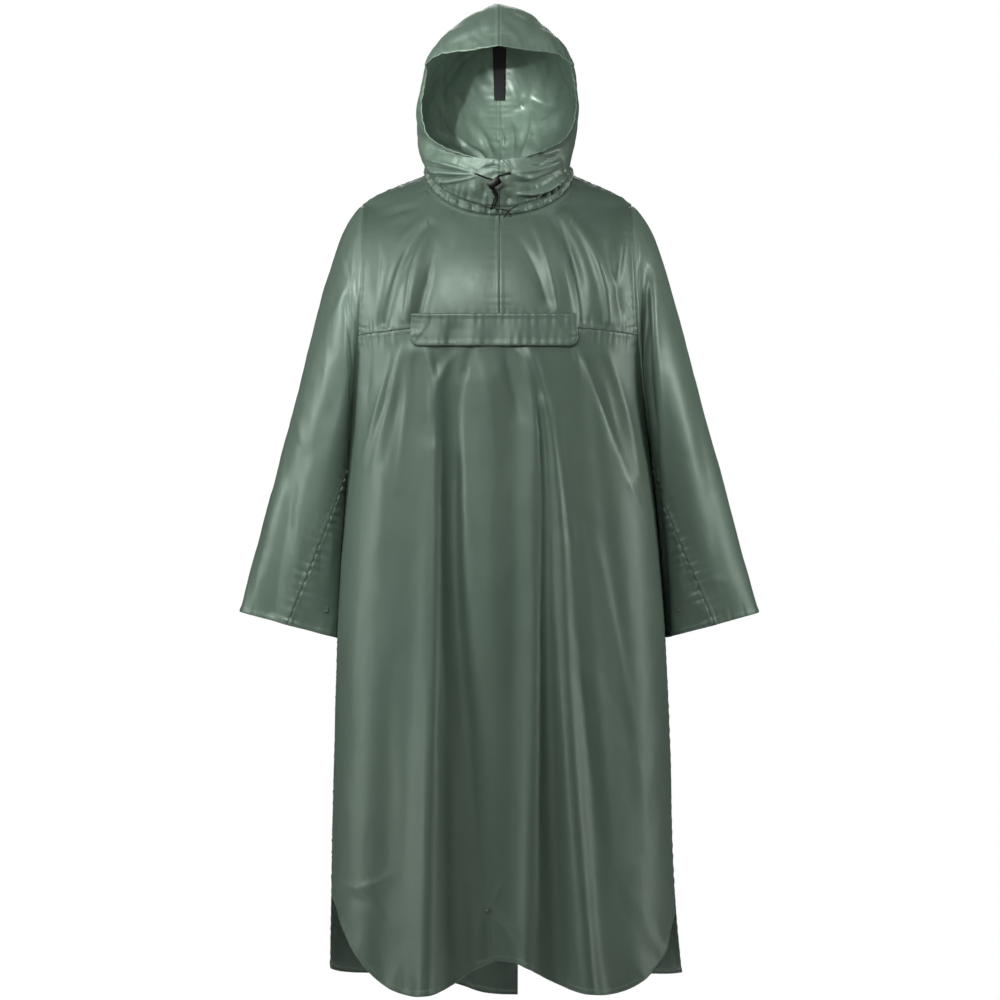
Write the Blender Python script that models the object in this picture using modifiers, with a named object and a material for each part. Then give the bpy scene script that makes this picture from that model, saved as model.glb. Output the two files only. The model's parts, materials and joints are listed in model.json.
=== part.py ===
"""Sleeved rain poncho, worn and empty: hood, gathered neck, yokes, skirt panels and wide sleeves.

Metres, +Z up. The front faces -Y and the wearer's left is +X. The origin lies between the
shoulders, level with the neck seam. Every cloth piece is an open surface worked out from the
garment's sections and given its wall by Solidify, with a narrow gap to its neighbour at each seam.
"""
import bpy
import bmesh
import numpy as np
from math import asin, cos, pi, radians, sin, sqrt
from mathutils import Matrix, Vector

# ---------------------------------------------------------------- driving sizes
WALL = 0.0012                # cloth wall
SEAM = 0.00018               # each piece's half of the gap at a flat seam
ROUND_SEAM = 0.00038         # the same where the cloth bends at the seam, so that inner edges clear
GUSSET_SEAM = 0.0006         # the same along the under-sleeve, which meets the sleeve at an angle
ARMHOLE_GAP = 0.0007         # gap between body and sleeve, where the walls meet at an angle
SLEEVE_CLEAR = 0.0025        # how far the sleeve hangs clear of the body below the armhole
TRIM_GAP = 0.0004            # trim to the cloth under it

NECK_HALF_WIDTH = 0.108
NECK_CENTRE_Y = -0.017
NECK_HALF_DEPTH = 0.085
NECK_FRONT_Z = -0.045
NECK_BACK_Z = 0.020
CASING_SEAM = 0.03           # share of the tunnel's height left open at each seam
CASING_BULGE = 0.0035
CASING_GATHERS = 26
GATHER_DEPTH = 0.0011

ARMHOLE_TOP_Z = -0.0285
ARMHOLE_LOW_Z = -0.430
ARMHOLE_DEPTH = 0.095
ARMHOLE_ROUND = 0.64         # 0.5 makes the armhole round above, 1 makes it pointed there too
ARMHOLE_BLEND = 3.0          # how closely the armhole's depth keeps to the body's side
SECTION_POWER = 2.8          # 2 makes the body's level section an ellipse, more makes it squarer
YOKE_SEAM_Z = -0.2105
YOKE_SEAM_DROP = 0.015       # how much lower the yoke seam ends at the armhole
SLIT_TOP_Z = -1.046
VENT_TOP_Z = -0.975          # the centre-back vent: the left panel passes under the right one
VENT_EASE = 0.055
VENT_REACH = 0.030
VENT_INWARD = 0.006
VENT_UNDERLAP = 0.028

SHOULDER_ROUND = {"front": 0.25, "back": 0.14}
SHOULDER_POWER = {"front": 0.6, "back": 0.5}
YOKE_CURVE = 0.12            # height of the yokes' closely spaced rows

CUFF_Z = -0.6612
CUFF_TILT = radians(15.1)
CUFF_DEPTH = 0.055
CUFF_FLATNESS = 0.65
SLEEVE_BULGE = 0.0235
SLEEVE_BULGE_FRONT = 0.5     # share of the bulge that goes to the front
SLEEVE_CLEAR_FROM = 0.12     # share of the sleeve by which it hangs fully clear
GUSSET_TOP_ANGLE = radians(26.4)
GUSSET_CUFF_ANGLE = radians(92)
GUSSET_SPREAD = 0.8          # under 1, the under-sleeve widens sooner
SLEEVE_BULGE_START = 0.05
TROUGH_DOWN = 0.07           # the fold beside the armhole: its place down the sleeve and its width
TROUGH_WIDTH = 0.04
TROUGH_ANGLE = radians(75)

# ---------------------------------------------------------------- tables
BODY_COLUMNS = ("z", "left", "right", "front", "back")
BODY_SECTIONS = (
    (0.060, 0.2060, 0.1985, 0.140, 0.112),
    (-0.037, 0.2064, 0.1990, 0.140, 0.118),
    (-0.200, 0.2113, 0.2050, 0.143, 0.134),
    (-0.310, 0.2200, 0.2160, 0.147, 0.138),
    (-0.430, 0.2280, 0.2300, 0.150, 0.142),
    (-0.620, 0.2410, 0.2455, 0.156, 0.152),
    (-0.831, 0.2475, 0.2558, 0.164, 0.166),
    (-1.046, 0.2528, 0.2622, 0.172, 0.180),
    (-1.240, 0.2565, 0.2795, 0.180, 0.190),
)

# The shoulder line, by its share of the way from the middle to the armhole.
SHOULDER_COLUMNS = ("share", "z")
SHOULDER_LINE = (
    (0.00, 0.0460),
    (0.17, 0.0435),
    (0.34, 0.0350),
    (0.53, 0.0188),
    (0.71, 0.0032),
    (0.83, -0.0070),
    (0.94, -0.0185),
    (1.00, ARMHOLE_TOP_Z),
)

HEM_COLUMNS = ("panel", "side_z", "fall", "power", "root", "arch", "arch_width")
HEM_SHAPES = (
    ("front_left", SLIT_TOP_Z, 0.1785, 4.2, 0.75, 0.064, 0.30),
    ("front_right", SLIT_TOP_Z, 0.1755, 4.7, 0.50, 0.061, 0.34),
    ("back_left", -1.178, 0.016, 9.0, 0.50, -0.034, 0.33),
    ("back_right", -1.186, 0.010, 9.0, 0.50, 0.028, 0.45),
)

# Folds: a smooth path through three points of the panel, half-width at its ends, rise at its ends.
FOLD_COLUMNS = ("x1", "z1", "x2", "z2", "x3", "z3", "width1", "width3", "rise1", "rise2", "rise3")
FRONT_FOLDS = (
    (-0.104, -0.40, -0.116, -0.78, -0.129, -1.26, 0.020, 0.026, 0.004, 0.015, 0.024),
    (-0.068, -0.22, -0.074, -0.66, -0.050, -1.26, 0.014, 0.026, -0.004, -0.013, -0.020),
    (-0.018, -0.30, -0.016, -0.70, -0.010, -1.24, 0.030, 0.034, 0.003, 0.006, 0.004),
    (0.046, -0.26, 0.048, -0.74, 0.036, -1.24, 0.014, 0.018, 0.003, 0.009, 0.013),
    (0.070, -0.35, 0.077, -0.70, 0.094, -1.26, 0.010, 0.014, -0.002, -0.007, -0.010),
    (0.072, -0.33, 0.106, -0.76, 0.142, -1.28, 0.015, 0.022, 0.003, 0.010, 0.017),
    (0.100, -0.36, 0.142, -0.72, 0.164, -1.15, 0.012, 0.018, 0.002, 0.005, 0.003),
    (0.132, -0.27, 0.180, -0.70, 0.205, -1.00, 0.012, 0.018, -0.002, -0.005, -0.004),
    (-0.137, -0.25, -0.172, -0.40, -0.190, -0.62, 0.012, 0.020, 0.004, 0.006, 0.003),
    (-0.160, -0.70, -0.170, -0.95, -0.178, -1.26, 0.018, 0.022, -0.001, -0.006, -0.012),
)
YOKE_FOLDS = (
    (-0.082, -0.045, -0.128, -0.095, -0.152, -0.185, 0.010, 0.014, 0.002, 0.006, 0.004),
    (-0.105, -0.070, -0.146, -0.125, -0.186, -0.205, 0.010, 0.014, -0.001, -0.005, -0.003),
    (0.050, -0.045, 0.078, -0.100, 0.140, -0.200, 0.009, 0.014, -0.003, -0.005, -0.003),
    (0.084, -0.045, 0.138, -0.085, 0.166, -0.200, 0.010, 0.015, 0.002, 0.006, 0.004),
)
BACK_FOLDS = (
    (-0.150, -0.20, -0.146, -0.70, -0.158, -1.28, 0.018, 0.024, 0.002, 0.012, 0.018),
    (-0.100, -0.35, -0.104, -0.75, -0.108, -1.28, 0.016, 0.022, -0.002, -0.010, -0.015),
    (-0.058, -0.12, -0.060, -0.65, -0.064, -1.29, 0.016, 0.024, 0.002, 0.010, 0.016),
    (0.056, -0.15, 0.062, -0.70, 0.070, -1.29, 0.016, 0.024, 0.002, 0.011, 0.016),
    (0.104, -0.35, 0.110, -0.75, 0.116, -1.28, 0.016, 0.022, -0.002, -0.010, -0.014),
    (0.146, -0.20, 0.152, -0.70, 0.162, -1.27, 0.018, 0.024, 0.002, 0.012, 0.017),
)

# Hood sections from the neck edge up to the peak: the seam point, the half-width, the free edge,
# the side's bow, the roundness of the section and how much narrower its right side is.
HOOD_COLUMNS = ("mid_y", "mid_z", "width", "edge_x", "edge_y", "edge_z", "bow_z", "round", "narrow")
HOOD_SECTIONS = (
    (0.068, 0.0325, 0.108, 0.000, -0.1020, -0.0325, 0.0285, 2.0, 0.040),
    (0.078, 0.050, 0.117, 0.000, -0.1090, -0.0120, 0.0200, 2.0, 0.095),
    (0.098, 0.076, 0.121, 0.000, -0.1120, 0.0120, 0.0140, 2.0, 0.085),
    (0.118, 0.106, 0.123, 0.000, -0.1080, 0.0360, 0.0000, 1.95, 0.070),
    (0.131, 0.135, 0.1235, 0.045, -0.1010, 0.0435, 0.0040, 1.9, 0.045),
    (0.137, 0.165, 0.1235, 0.094, -0.0900, 0.0640, 0.0050, 1.8, 0.032),
    (0.133, 0.197, 0.1220, 0.113, -0.0800, 0.0930, 0.0040, 1.7, 0.010),
    (0.114, 0.228, 0.1195, 0.1165, -0.0800, 0.1180, 0.0020, 1.62, 0.0),
    (0.079, 0.254, 0.1165, 0.1130, -0.0840, 0.1390, 0.0, 1.52, 0.0),
    (0.030, 0.2715, 0.1135, 0.1100, -0.0900, 0.1550, 0.0, 1.46, 0.0),
    (-0.028, 0.2770, 0.1110, 0.1080, -0.0960, 0.1660, 0.0, 1.44, 0.0),
    (-0.090, 0.2570, 0.1105, 0.1080, -0.1010, 0.1730, 0.0, 1.52, 0.0),
    (-0.148, 0.2050, 0.1095, 0.1090, -0.1060, 0.1780, 0.0, 1.6, 0.0),
)

CUFF_COLUMNS = ("side", "x", "y", "half_width", "trough")
CUFF_SHAPES = (
    (-1, 0.3178, 0.035, 0.0762, 0.004),
    (1, 0.3216, 0.030, 0.0724, 0.016),
)

# The storm flap over the yoke seam.
FLAP_LEFT = -0.133
FLAP_RIGHT = 0.1165
FLAP_TOP_Z = -0.1935
FLAP_LOW_Z = -0.2415
FLAP_CORNER = 0.014
FLAP_BAND = 0.0085           # height of the stitched band along its top
FLAP_FREE = 0.0030           # how far its loose lower edge stands off
FLAP_LEAN = 0.5              # how much of that also goes outwards at its ends

# Trim. Spots are given by their x, z as seen from the front.
EYELET_SPOTS = ((-0.0360, 0.0173), (0.0165, 0.0180))
EYELET_RADIUS = 0.0033
EYELET_TUBE = 0.0010
EYELET_GAP = 0.0005
CUFF_SNAP_SPOTS = {-1: (-0.2633, -0.637), 1: (0.2696, -0.636)}
HEM_SNAP_SPOT = (-0.018, -1.083)
SNAP_GAP = 0.0006
SNAP_PROFILE = ((0.0, 0.0023), (0.0024, 0.0023), (0.0030, 0.0027), (0.0041, 0.0027), (0.0051, 0.0020),
                (0.0053, 0.0008), (0.0046, 0.0), (0.0, 0.0))

LOCK_CENTRE = (-0.00795, -0.1180, 0.0024)
LOCK_TILT = radians(35)
LOCK_SIZE = (0.020, 0.0095, 0.011)
PLUNGER_SHIFT = (0.0040, 0.0, -0.00835)
PLUNGER_SIZE = (0.015, 0.0075, 0.0050)
HARD_BEVEL = 0.0020

HOOD_CORD = 0.0028           # diameters
HOOD_CORD_END = 0.0026
NECK_CORD = 0.0020
KNOT_TOP = (-0.00994, -0.1180, -0.00660)
KNOT_LOW = (-0.00455, -0.1136, -0.01615)
KNOT_RADIUS = 0.0033
CORD_ROUTES = {
    "hood_cord_left": (HOOD_CORD, (
        (-0.0364, -0.1070, 0.0174), (-0.0362, -0.1094, 0.0172), (-0.0338, -0.1124, 0.0158),
        (-0.0285, -0.1150, 0.0134), (-0.0222, -0.1168, 0.0112), (-0.0165, -0.1177, 0.0093),
        (-0.0122, -0.1180, 0.0076))),
    "hood_cord_right": (HOOD_CORD, (
        (0.0166, -0.1104, 0.0181), (0.0162, -0.1128, 0.0180), (0.0140, -0.1152, 0.0172),
        (0.0106, -0.1170, 0.0162), (0.0064, -0.1178, 0.0150), (0.0026, -0.1180, 0.0139),
        (-0.0008, -0.1180, 0.0130))),
    "hood_cord_end_left": (HOOD_CORD_END, (
        (-0.0058, -0.1133, -0.0181), (-0.0078, -0.1118, -0.0225), (-0.0098, -0.1100, -0.0285),
        (-0.0115, -0.1090, -0.0334), (-0.01335, -0.1072, -0.0378))),
    "hood_cord_end_right": (HOOD_CORD_END, (
        (-0.0025, -0.1131, -0.0163), (-0.0034, -0.1118, -0.0198), (-0.0048, -0.1103, -0.0245),
        (-0.0065, -0.1094, -0.0294), (-0.00825, -0.1094, -0.0342))),
    "neck_cord_left": (NECK_CORD, (
        (-0.0285, -0.1020, -0.0306), (-0.0200, -0.1044, -0.0333), (-0.0100, -0.1062, -0.0352),
        (0.0000, -0.1086, -0.0366), (0.0080, -0.1077, -0.0376), (0.0128, -0.1074, -0.0392),
        (0.0156, -0.1073, -0.0432), (0.0168, -0.1077, -0.0479))),
    "neck_cord_right": (NECK_CORD, (
        (0.0285, -0.1017, -0.0297), (0.0245, -0.1040, -0.0318), (0.0205, -0.1070, -0.0342),
        (0.0165, -0.1093, -0.0364), (0.0125, -0.1099, -0.0392), (0.0095, -0.1086, -0.0436),
        (0.0069, -0.1082, -0.0483))),
}

TAPE_LOW = 4.0               # the webbing's lower end, then its bends, as rows of the hood panels
TAPE_ROWS = (5.0, 6.0, 7.0, 7.6)
TAPE_WIDTHS = (0.016, 0.022)
TAPE_WALL = 0.0010
TAPE_GAP = 0.0006

# ---------------------------------------------------------------- mesh resolution
NECK_COLUMNS = 8             # columns of a half panel, from the middle to the neck's end
ARM_COLUMNS = 6              # and from there to the side
ROUND_ROWS = 5               # rows over the shoulder's curve
YOKE_ROWS = 3                # rows from there to the yoke seam
ARMHOLE_ROWS = 6             # rows from the yoke seam to the armpit
SKIRT_ROWS = 12              # rows from the armpit to the hem
ARMPIT_ROW = ROUND_ROWS + ARMHOLE_ROWS
HOOD_ROWS = 12
HOOD_STEPS = 13
SLEEVE_TOP_ROWS = (0, 0.025, 0.05, 0.08, 0.12, 0.165)
SLEEVE_ROWS = 10
SLEEVE_STEPS = 14
GUSSET_STEPS = 6
CASING_STEPS = 4             # columns for each gather
CASING_ROWS = 3
CORNER_STEPS = 3
CORNER_CLEAR = 1.2           # the flap's other columns keep this many corners from its ends
FLAP_ROWS = 4
SNAP_STEPS = 16
EYELET_STEPS = 16
EYELET_SIDES = 6
KNOT_STEPS = 12
ROUTE_STEPS = 2              # lengths of cord for each stretch of its route
SPOT_ROUNDS = 3              # the search for a trim's spot: rounds, places each way, closer each time
SPOT_PLACES = 81
SPOT_CLOSER = 20
SPOT_FRONT = 0.1             # how much a place nearer the front is preferred
SPOT_STEP = 0.02             # share of a facet over which its direction is taken

GARMENT = "rain_poncho"
FRONT, BACK = -1, 1
LEFT, RIGHT = -1, 1          # as seen from the front: -X and +X
NAMES = {LEFT: "left", RIGHT: "right"}


# ---------------------------------------------------------------- helpers
def named(rows, columns):
    """The table's columns as arrays, by name."""
    return {name: np.array([row[i] for row in rows]) for i, name in enumerate(columns)}


def along(position, stations, values):
    """Value on the smooth curve through the stations, which rise."""
    slopes = np.gradient(values, stations)
    at = np.clip(np.searchsorted(stations, position) - 1, 0, len(stations) - 2)
    length = stations[at + 1] - stations[at]
    t = np.clip((position - stations[at]) / length, 0, 1)
    start, end = values[at], values[at + 1]
    ease = t * t * (3 - 2 * t)
    bend = t * (1 - t) * length
    return start + (end - start) * ease + bend * ((1 - t) * slopes[at] - t * slopes[at + 1])


BODY = named(BODY_SECTIONS[::-1], BODY_COLUMNS)
SHOULDER = named(SHOULDER_LINE, SHOULDER_COLUMNS)
HOOD = named(HOOD_SECTIONS, HOOD_COLUMNS)
HEMS = {row[0]: dict(zip(HEM_COLUMNS[1:], row[1:])) for row in HEM_SHAPES}
CUFFS = {row[0]: dict(zip(CUFF_COLUMNS[1:], row[1:])) for row in CUFF_SHAPES}


def signed_power(value, power):
    return np.sign(value) * np.abs(value) ** power


# ---------------------------------------------------------------- the garment's surfaces
def half_width(z, side):
    """Distance from the middle to the armhole or side seam."""
    return along(z, BODY["z"], BODY[NAMES[side]])


def top_half_width(side):
    return float(half_width(np.array(ARMHOLE_TOP_Z), side))


def shoulder_z(x):
    """Height of the shoulder line at a distance from the middle."""
    reach = np.where(x < 0, top_half_width(LEFT), top_half_width(RIGHT))
    return along(np.minimum(np.abs(x) / reach, 1), SHOULDER["share"], SHOULDER["z"])


def fold_rise(x, z, folds):
    """Sum of the folds at each point of a panel."""
    total = np.zeros(np.broadcast(x, z).shape)
    for row in folds:
        fold = dict(zip(FOLD_COLUMNS, row))
        middle_x = 2 * fold["x2"] - (fold["x1"] + fold["x3"]) / 2
        middle_z = 2 * fold["z2"] - (fold["z1"] + fold["z3"]) / 2
        nearest = np.full(total.shape, np.inf)
        share = np.zeros(total.shape)
        for t in np.linspace(0, 1, 25):
            path_x = (1 - t) ** 2 * fold["x1"] + 2 * t * (1 - t) * middle_x + t ** 2 * fold["x3"]
            path_z = (1 - t) ** 2 * fold["z1"] + 2 * t * (1 - t) * middle_z + t ** 2 * fold["z3"]
            distance = np.hypot(x - path_x, z - path_z)
            share = np.where(distance < nearest, t, share)
            nearest = np.minimum(nearest, distance)
        width = fold["width1"] + (fold["width3"] - fold["width1"]) * share
        rise = np.interp(share, (0, 0.5, 1), (fold["rise1"], fold["rise2"], fold["rise3"]))
        total = total + rise * np.exp(-(nearest / width) ** 2)
    return total


def armhole_depth(z):
    """Half the armhole's depth, front to back, at a height: round above, pointed at the armpit."""
    share = np.clip((ARMHOLE_TOP_Z - z) / (ARMHOLE_TOP_Z - ARMHOLE_LOW_Z), 0, 1)
    return ARMHOLE_DEPTH * np.sin(pi * share ** ARMHOLE_ROUND)


def flatness(share):
    """Depth of the body's level section at a share of its half-width: flat, with round sides."""
    return (1 - share ** SECTION_POWER) ** (1 / SECTION_POWER)


def shoulder_rounding(x, z, name):
    """0 on the shoulder line, rising to 1 where the panel hangs straight."""
    fall = np.clip((shoulder_z(x) - z) / SHOULDER_ROUND[name], 0, 1)
    return (1 - (1 - fall) ** 2) ** SHOULDER_POWER[name]


def body_points(face, turn, z, folds=True):
    """Points of the body: turn goes from -90 degrees at the left seam to 90 at the right one."""
    name = "front" if face == FRONT else "back"
    x = np.where(turn < 0, half_width(z, LEFT), half_width(z, RIGHT)) * np.sin(turn)
    rounded = shoulder_rounding(x, z, name)
    full = along(z, BODY["z"], BODY[name]) * rounded * flatness(np.abs(np.sin(turn)))
    depth = (full ** ARMHOLE_BLEND + armhole_depth(z) ** ARMHOLE_BLEND) ** (1 / ARMHOLE_BLEND)
    if folds:
        rows = FRONT_FOLDS + YOKE_FOLDS if face == FRONT else BACK_FOLDS
        depth = depth + fold_rise(x, z, rows) * np.cos(turn) * rounded
    return np.stack([x, face * depth, z + 0 * x], axis=-1)


def body_side_x(y, z, side):
    """How far out the body's side lies at a depth and height."""
    full = np.where(y < 0, along(z, BODY["z"], BODY["front"]), along(z, BODY["z"], BODY["back"]))
    beyond = np.maximum(np.abs(y) ** ARMHOLE_BLEND - armhole_depth(z) ** ARMHOLE_BLEND, 0)
    share = np.clip(beyond ** (1 / ARMHOLE_BLEND) / full, 0, 1)
    return half_width(z, side) * flatness(share)


def neck_z(x, face):
    """Height of the neck seam at a distance from the middle."""
    centre = NECK_FRONT_Z if face == FRONT else NECK_BACK_Z
    side = shoulder_z(np.where(x < 0, -NECK_HALF_WIDTH, NECK_HALF_WIDTH))
    share = np.clip(np.abs(x) / NECK_HALF_WIDTH, 0, 1)
    return centre + (side - centre) * (1 - np.sqrt(1 - share ** 2))


def column_top(face, turn, side):
    """Height at which a body column starts: the neck seam, then the shoulder line."""
    x = top_half_width(side) * sin(turn)
    on_neck = abs(x) < NECK_HALF_WIDTH - 1e-6
    return float(neck_z(x, face) if on_neck else shoulder_z(x))


def hem_z(panel, turn):
    """Height of a hem: a shirt-tail that falls from the side and arches in the middle."""
    hem = HEMS[panel]
    across = abs(sin(turn))
    fall = hem["fall"] * (1 - across ** hem["power"]) ** hem["root"]
    arch = hem["arch"] * np.exp(-(across / hem["arch_width"]) ** 2)
    return hem["side_z"] - fall + arch


def yoke_z(turn):
    return YOKE_SEAM_Z - YOKE_SEAM_DROP * sin(turn) ** 2


def hood_points(height, angle):
    """Points of the hood: height 0 at the neck to 1 at the peak, angle 0 on the seam to 180."""
    station = np.linspace(0, 1, len(HOOD_SECTIONS))
    row = {name: along(height, station, HOOD[name]) for name in HOOD_COLUMNS}
    power = 2 / row["round"]
    reach = np.clip(row["edge_x"] / row["width"], 0, 1) ** (1 / power)
    last = pi - np.arcsin(reach)
    side = np.sign(angle)
    turn = np.abs(angle) / pi * last
    x = row["width"] * np.abs(np.sin(turn)) ** power
    ahead = signed_power(np.cos(turn), power)
    ahead_last = signed_power(np.cos(last), power)
    share = (1 - ahead) / (1 - ahead_last)
    y = row["mid_y"] + (row["edge_y"] - row["mid_y"]) * share
    z = row["mid_z"] + (row["edge_z"] - row["mid_z"]) * share + row["bow_z"] * 4 * share * (1 - share)
    narrow = np.where(side < 0, 0, row["narrow"])
    return np.stack([side * x * (1 - narrow), y, z], axis=-1)


def sleeve_points(side, angle, down):
    """Points of a sleeve: angle 0 on the shoulder, 90 degrees in front, 180 in the armpit."""
    cuff = CUFFS[side]
    middle_z = (ARMHOLE_TOP_Z + ARMHOLE_LOW_Z) / 2
    top_z = middle_z + (ARMHOLE_TOP_Z - middle_z) * np.cos(angle)
    gap = ARMHOLE_GAP * (1 + np.clip(np.cos(angle), 0, 1))
    ahead = np.where(np.sin(angle) > 0, -1, 1)
    start = np.stack([half_width(top_z, side) + gap, ahead * armhole_depth(top_z), top_z], axis=-1)
    out = cuff["half_width"] * np.cos(angle)
    end = np.stack([cuff["x"] + out * cos(CUFF_TILT),
                    cuff["y"] - CUFF_DEPTH * signed_power(np.sin(angle), CUFF_FLATNESS),
                    CUFF_Z + out * sin(CUFF_TILT)], axis=-1)
    t = down[..., None]
    points = start * (1 - t) + end * t
    swell = SLEEVE_BULGE * (1 - down) * (1 - np.exp(-down / SLEEVE_BULGE_START))
    points[..., 0] += swell * np.clip(np.cos(angle), 0, 1)
    points[..., 1] -= swell * SLEEVE_BULGE_FRONT * np.sin(angle)
    trough = np.exp(-((down - TROUGH_DOWN) / TROUGH_WIDTH) ** 2)
    points[..., 1] += cuff["trough"] * trough * np.clip(np.cos(angle - TROUGH_ANGLE), 0, 1) ** 3
    clear = ARMHOLE_GAP + SLEEVE_CLEAR * np.clip(down / SLEEVE_CLEAR_FROM, 0, 1)
    nearest = body_side_x(points[..., 1], points[..., 2], side) + clear
    points[..., 0] = side * np.maximum(points[..., 0], np.where(down > 0, nearest, 0))
    return points


def gusset_angle(down):
    """Half the angle that the under-sleeve piece takes of the sleeve."""
    return GUSSET_TOP_ANGLE + (GUSSET_CUFF_ANGLE - GUSSET_TOP_ANGLE) * down ** GUSSET_SPREAD


# ---------------------------------------------------------------- grids of points
def column_turns(side):
    """Turns of a half panel's columns, with one column on the neck's end."""
    corner = asin(NECK_HALF_WIDTH / top_half_width(side))
    inner = np.linspace(0, corner, NECK_COLUMNS + 1)
    outer = np.linspace(corner, pi / 2, ARM_COLUMNS + 1)[1:]
    turns = side * np.concatenate([inner, outer])
    return turns if side > 0 else turns[::-1]


def over_shoulder(top, rounded):
    """Heights close together over the shoulder's curve."""
    return top - rounded * (1 - np.cos(np.linspace(0, pi / 2, ROUND_ROWS + 1)))


def to_armpit(top):
    """Heights from the chest to the armpit, closer together near it, without the first."""
    return top + (ARMHOLE_LOW_Z - top) * np.sin(np.linspace(0, pi / 2, ARMHOLE_ROWS + 1))[1:]


def to_hem(low):
    return np.linspace(ARMHOLE_LOW_Z, low, SKIRT_ROWS + 1)[1:]


def column(face, turn, z):
    return body_points(face, np.full(z.shape, turn), z)


def yoke_grid(side):
    columns = []
    for turn in column_turns(side):
        curve = over_shoulder(column_top(FRONT, turn, side), YOKE_CURVE)
        flat = np.linspace(curve[-1], yoke_z(turn), YOKE_ROWS + 1)[1:]
        columns.append(column(FRONT, turn, np.concatenate([curve, flat])))
    return np.stack(columns, axis=1)


def front_panel_grid():
    columns = []
    for turn in np.concatenate([column_turns(LEFT)[:-1], column_turns(RIGHT)]):
        top = yoke_z(turn)
        low = hem_z("front_left" if turn < 0 else "front_right", turn)
        z = np.concatenate([[top], to_armpit(top), to_hem(low)])
        columns.append(column(FRONT, turn, z))
    return np.stack(columns, axis=1)


def back_grid(side):
    columns = []
    for turn in column_turns(side):
        curve = over_shoulder(column_top(BACK, turn, side), SHOULDER_ROUND["back"])
        low = hem_z("back_" + NAMES[side], turn)
        z = np.concatenate([curve, to_armpit(curve[-1]), to_hem(low)])
        columns.append(column(BACK, turn, z))
    points = np.stack(columns, axis=1)
    if side == LEFT:
        tuck_under(points)
    return points


def tuck_under(points):
    """Below the vent's top, draw the left back panel's edge on under the right one."""
    x, z = points[..., 0], points[..., 2]
    near = np.clip(1 + x / VENT_REACH, 0, 1)
    inward = np.clip((VENT_TOP_Z - z) / VENT_EASE, 0, 1) * near
    across = np.clip((VENT_TOP_Z - VENT_EASE - z) / VENT_EASE, 0, 1) * near ** 3
    points[..., 1] -= VENT_INWARD * inward
    points[..., 0] += VENT_UNDERLAP * across


def sleeve_rows():
    return np.concatenate([SLEEVE_TOP_ROWS, np.linspace(SLEEVE_TOP_ROWS[-1], 1, SLEEVE_ROWS)[1:]])


def sleeve_grid(side):
    down, share = np.meshgrid(sleeve_rows(), np.linspace(-1, 1, SLEEVE_STEPS + 1), indexing="ij")
    return sleeve_points(side, share * (pi - gusset_angle(down)), down)


def gusset_grid(side):
    down, share = np.meshgrid(sleeve_rows(), np.linspace(-1, 1, GUSSET_STEPS + 1), indexing="ij")
    return sleeve_points(side, pi + share * gusset_angle(down), down)


def hood_grid(side):
    height, angle = np.meshgrid(np.linspace(0, 1, HOOD_ROWS + 1),
                                np.linspace(0, pi, HOOD_STEPS + 1), indexing="ij")
    points = hood_points(height, side * np.maximum(angle, 1e-6))
    points[:, 0, 0] = 0
    return points


def ring_edge(angle, rim):
    """Points on a rim of straight stretches, by the angle round the neck from the nape."""
    at = np.arctan2(rim[:, 0] / NECK_HALF_WIDTH, (rim[:, 1] - NECK_CENTRE_Y) / NECK_HALF_DEPTH)
    order = np.argsort(at)
    at, rim = at[order], rim[order]
    at = np.concatenate([at - 2 * pi, at, at + 2 * pi])
    rim = np.concatenate([rim, rim, rim])
    return np.stack([np.interp(angle, at, rim[:, axis]) for axis in range(3)], axis=-1)


def neck_rim():
    """The body's neck seam, round front and back."""
    corner = NECK_HALF_WIDTH + 1e-5
    tops = [grid[0] for grid in (yoke_grid(LEFT), yoke_grid(RIGHT), back_grid(LEFT), back_grid(RIGHT))]
    points = np.concatenate(tops)
    return points[np.abs(points[:, 0]) < corner]


def casing_grid():
    angle = np.linspace(-pi, pi, CASING_GATHERS * CASING_STEPS, endpoint=False)
    lift, ring = np.meshgrid(np.linspace(CASING_SEAM, 1 - CASING_SEAM, CASING_ROWS + 1), angle,
                             indexing="ij")
    low = ring_edge(ring, neck_rim())
    high = ring_edge(ring, np.concatenate([hood_grid(LEFT)[0], hood_grid(RIGHT)[0]]))
    points = low + (high - low) * lift[..., None]
    outward = np.stack([np.sin(ring), np.cos(ring), 0 * ring], axis=-1)
    bulge = (CASING_BULGE + GATHER_DEPTH * np.cos(CASING_GATHERS * ring)) * np.sin(pi * lift)
    return points + outward * bulge[..., None]


def front_turn(x, z):
    """Turn of the front at a distance from the middle."""
    return asin(x / float(half_width(np.array(z), LEFT if x < 0 else RIGHT)))


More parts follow.
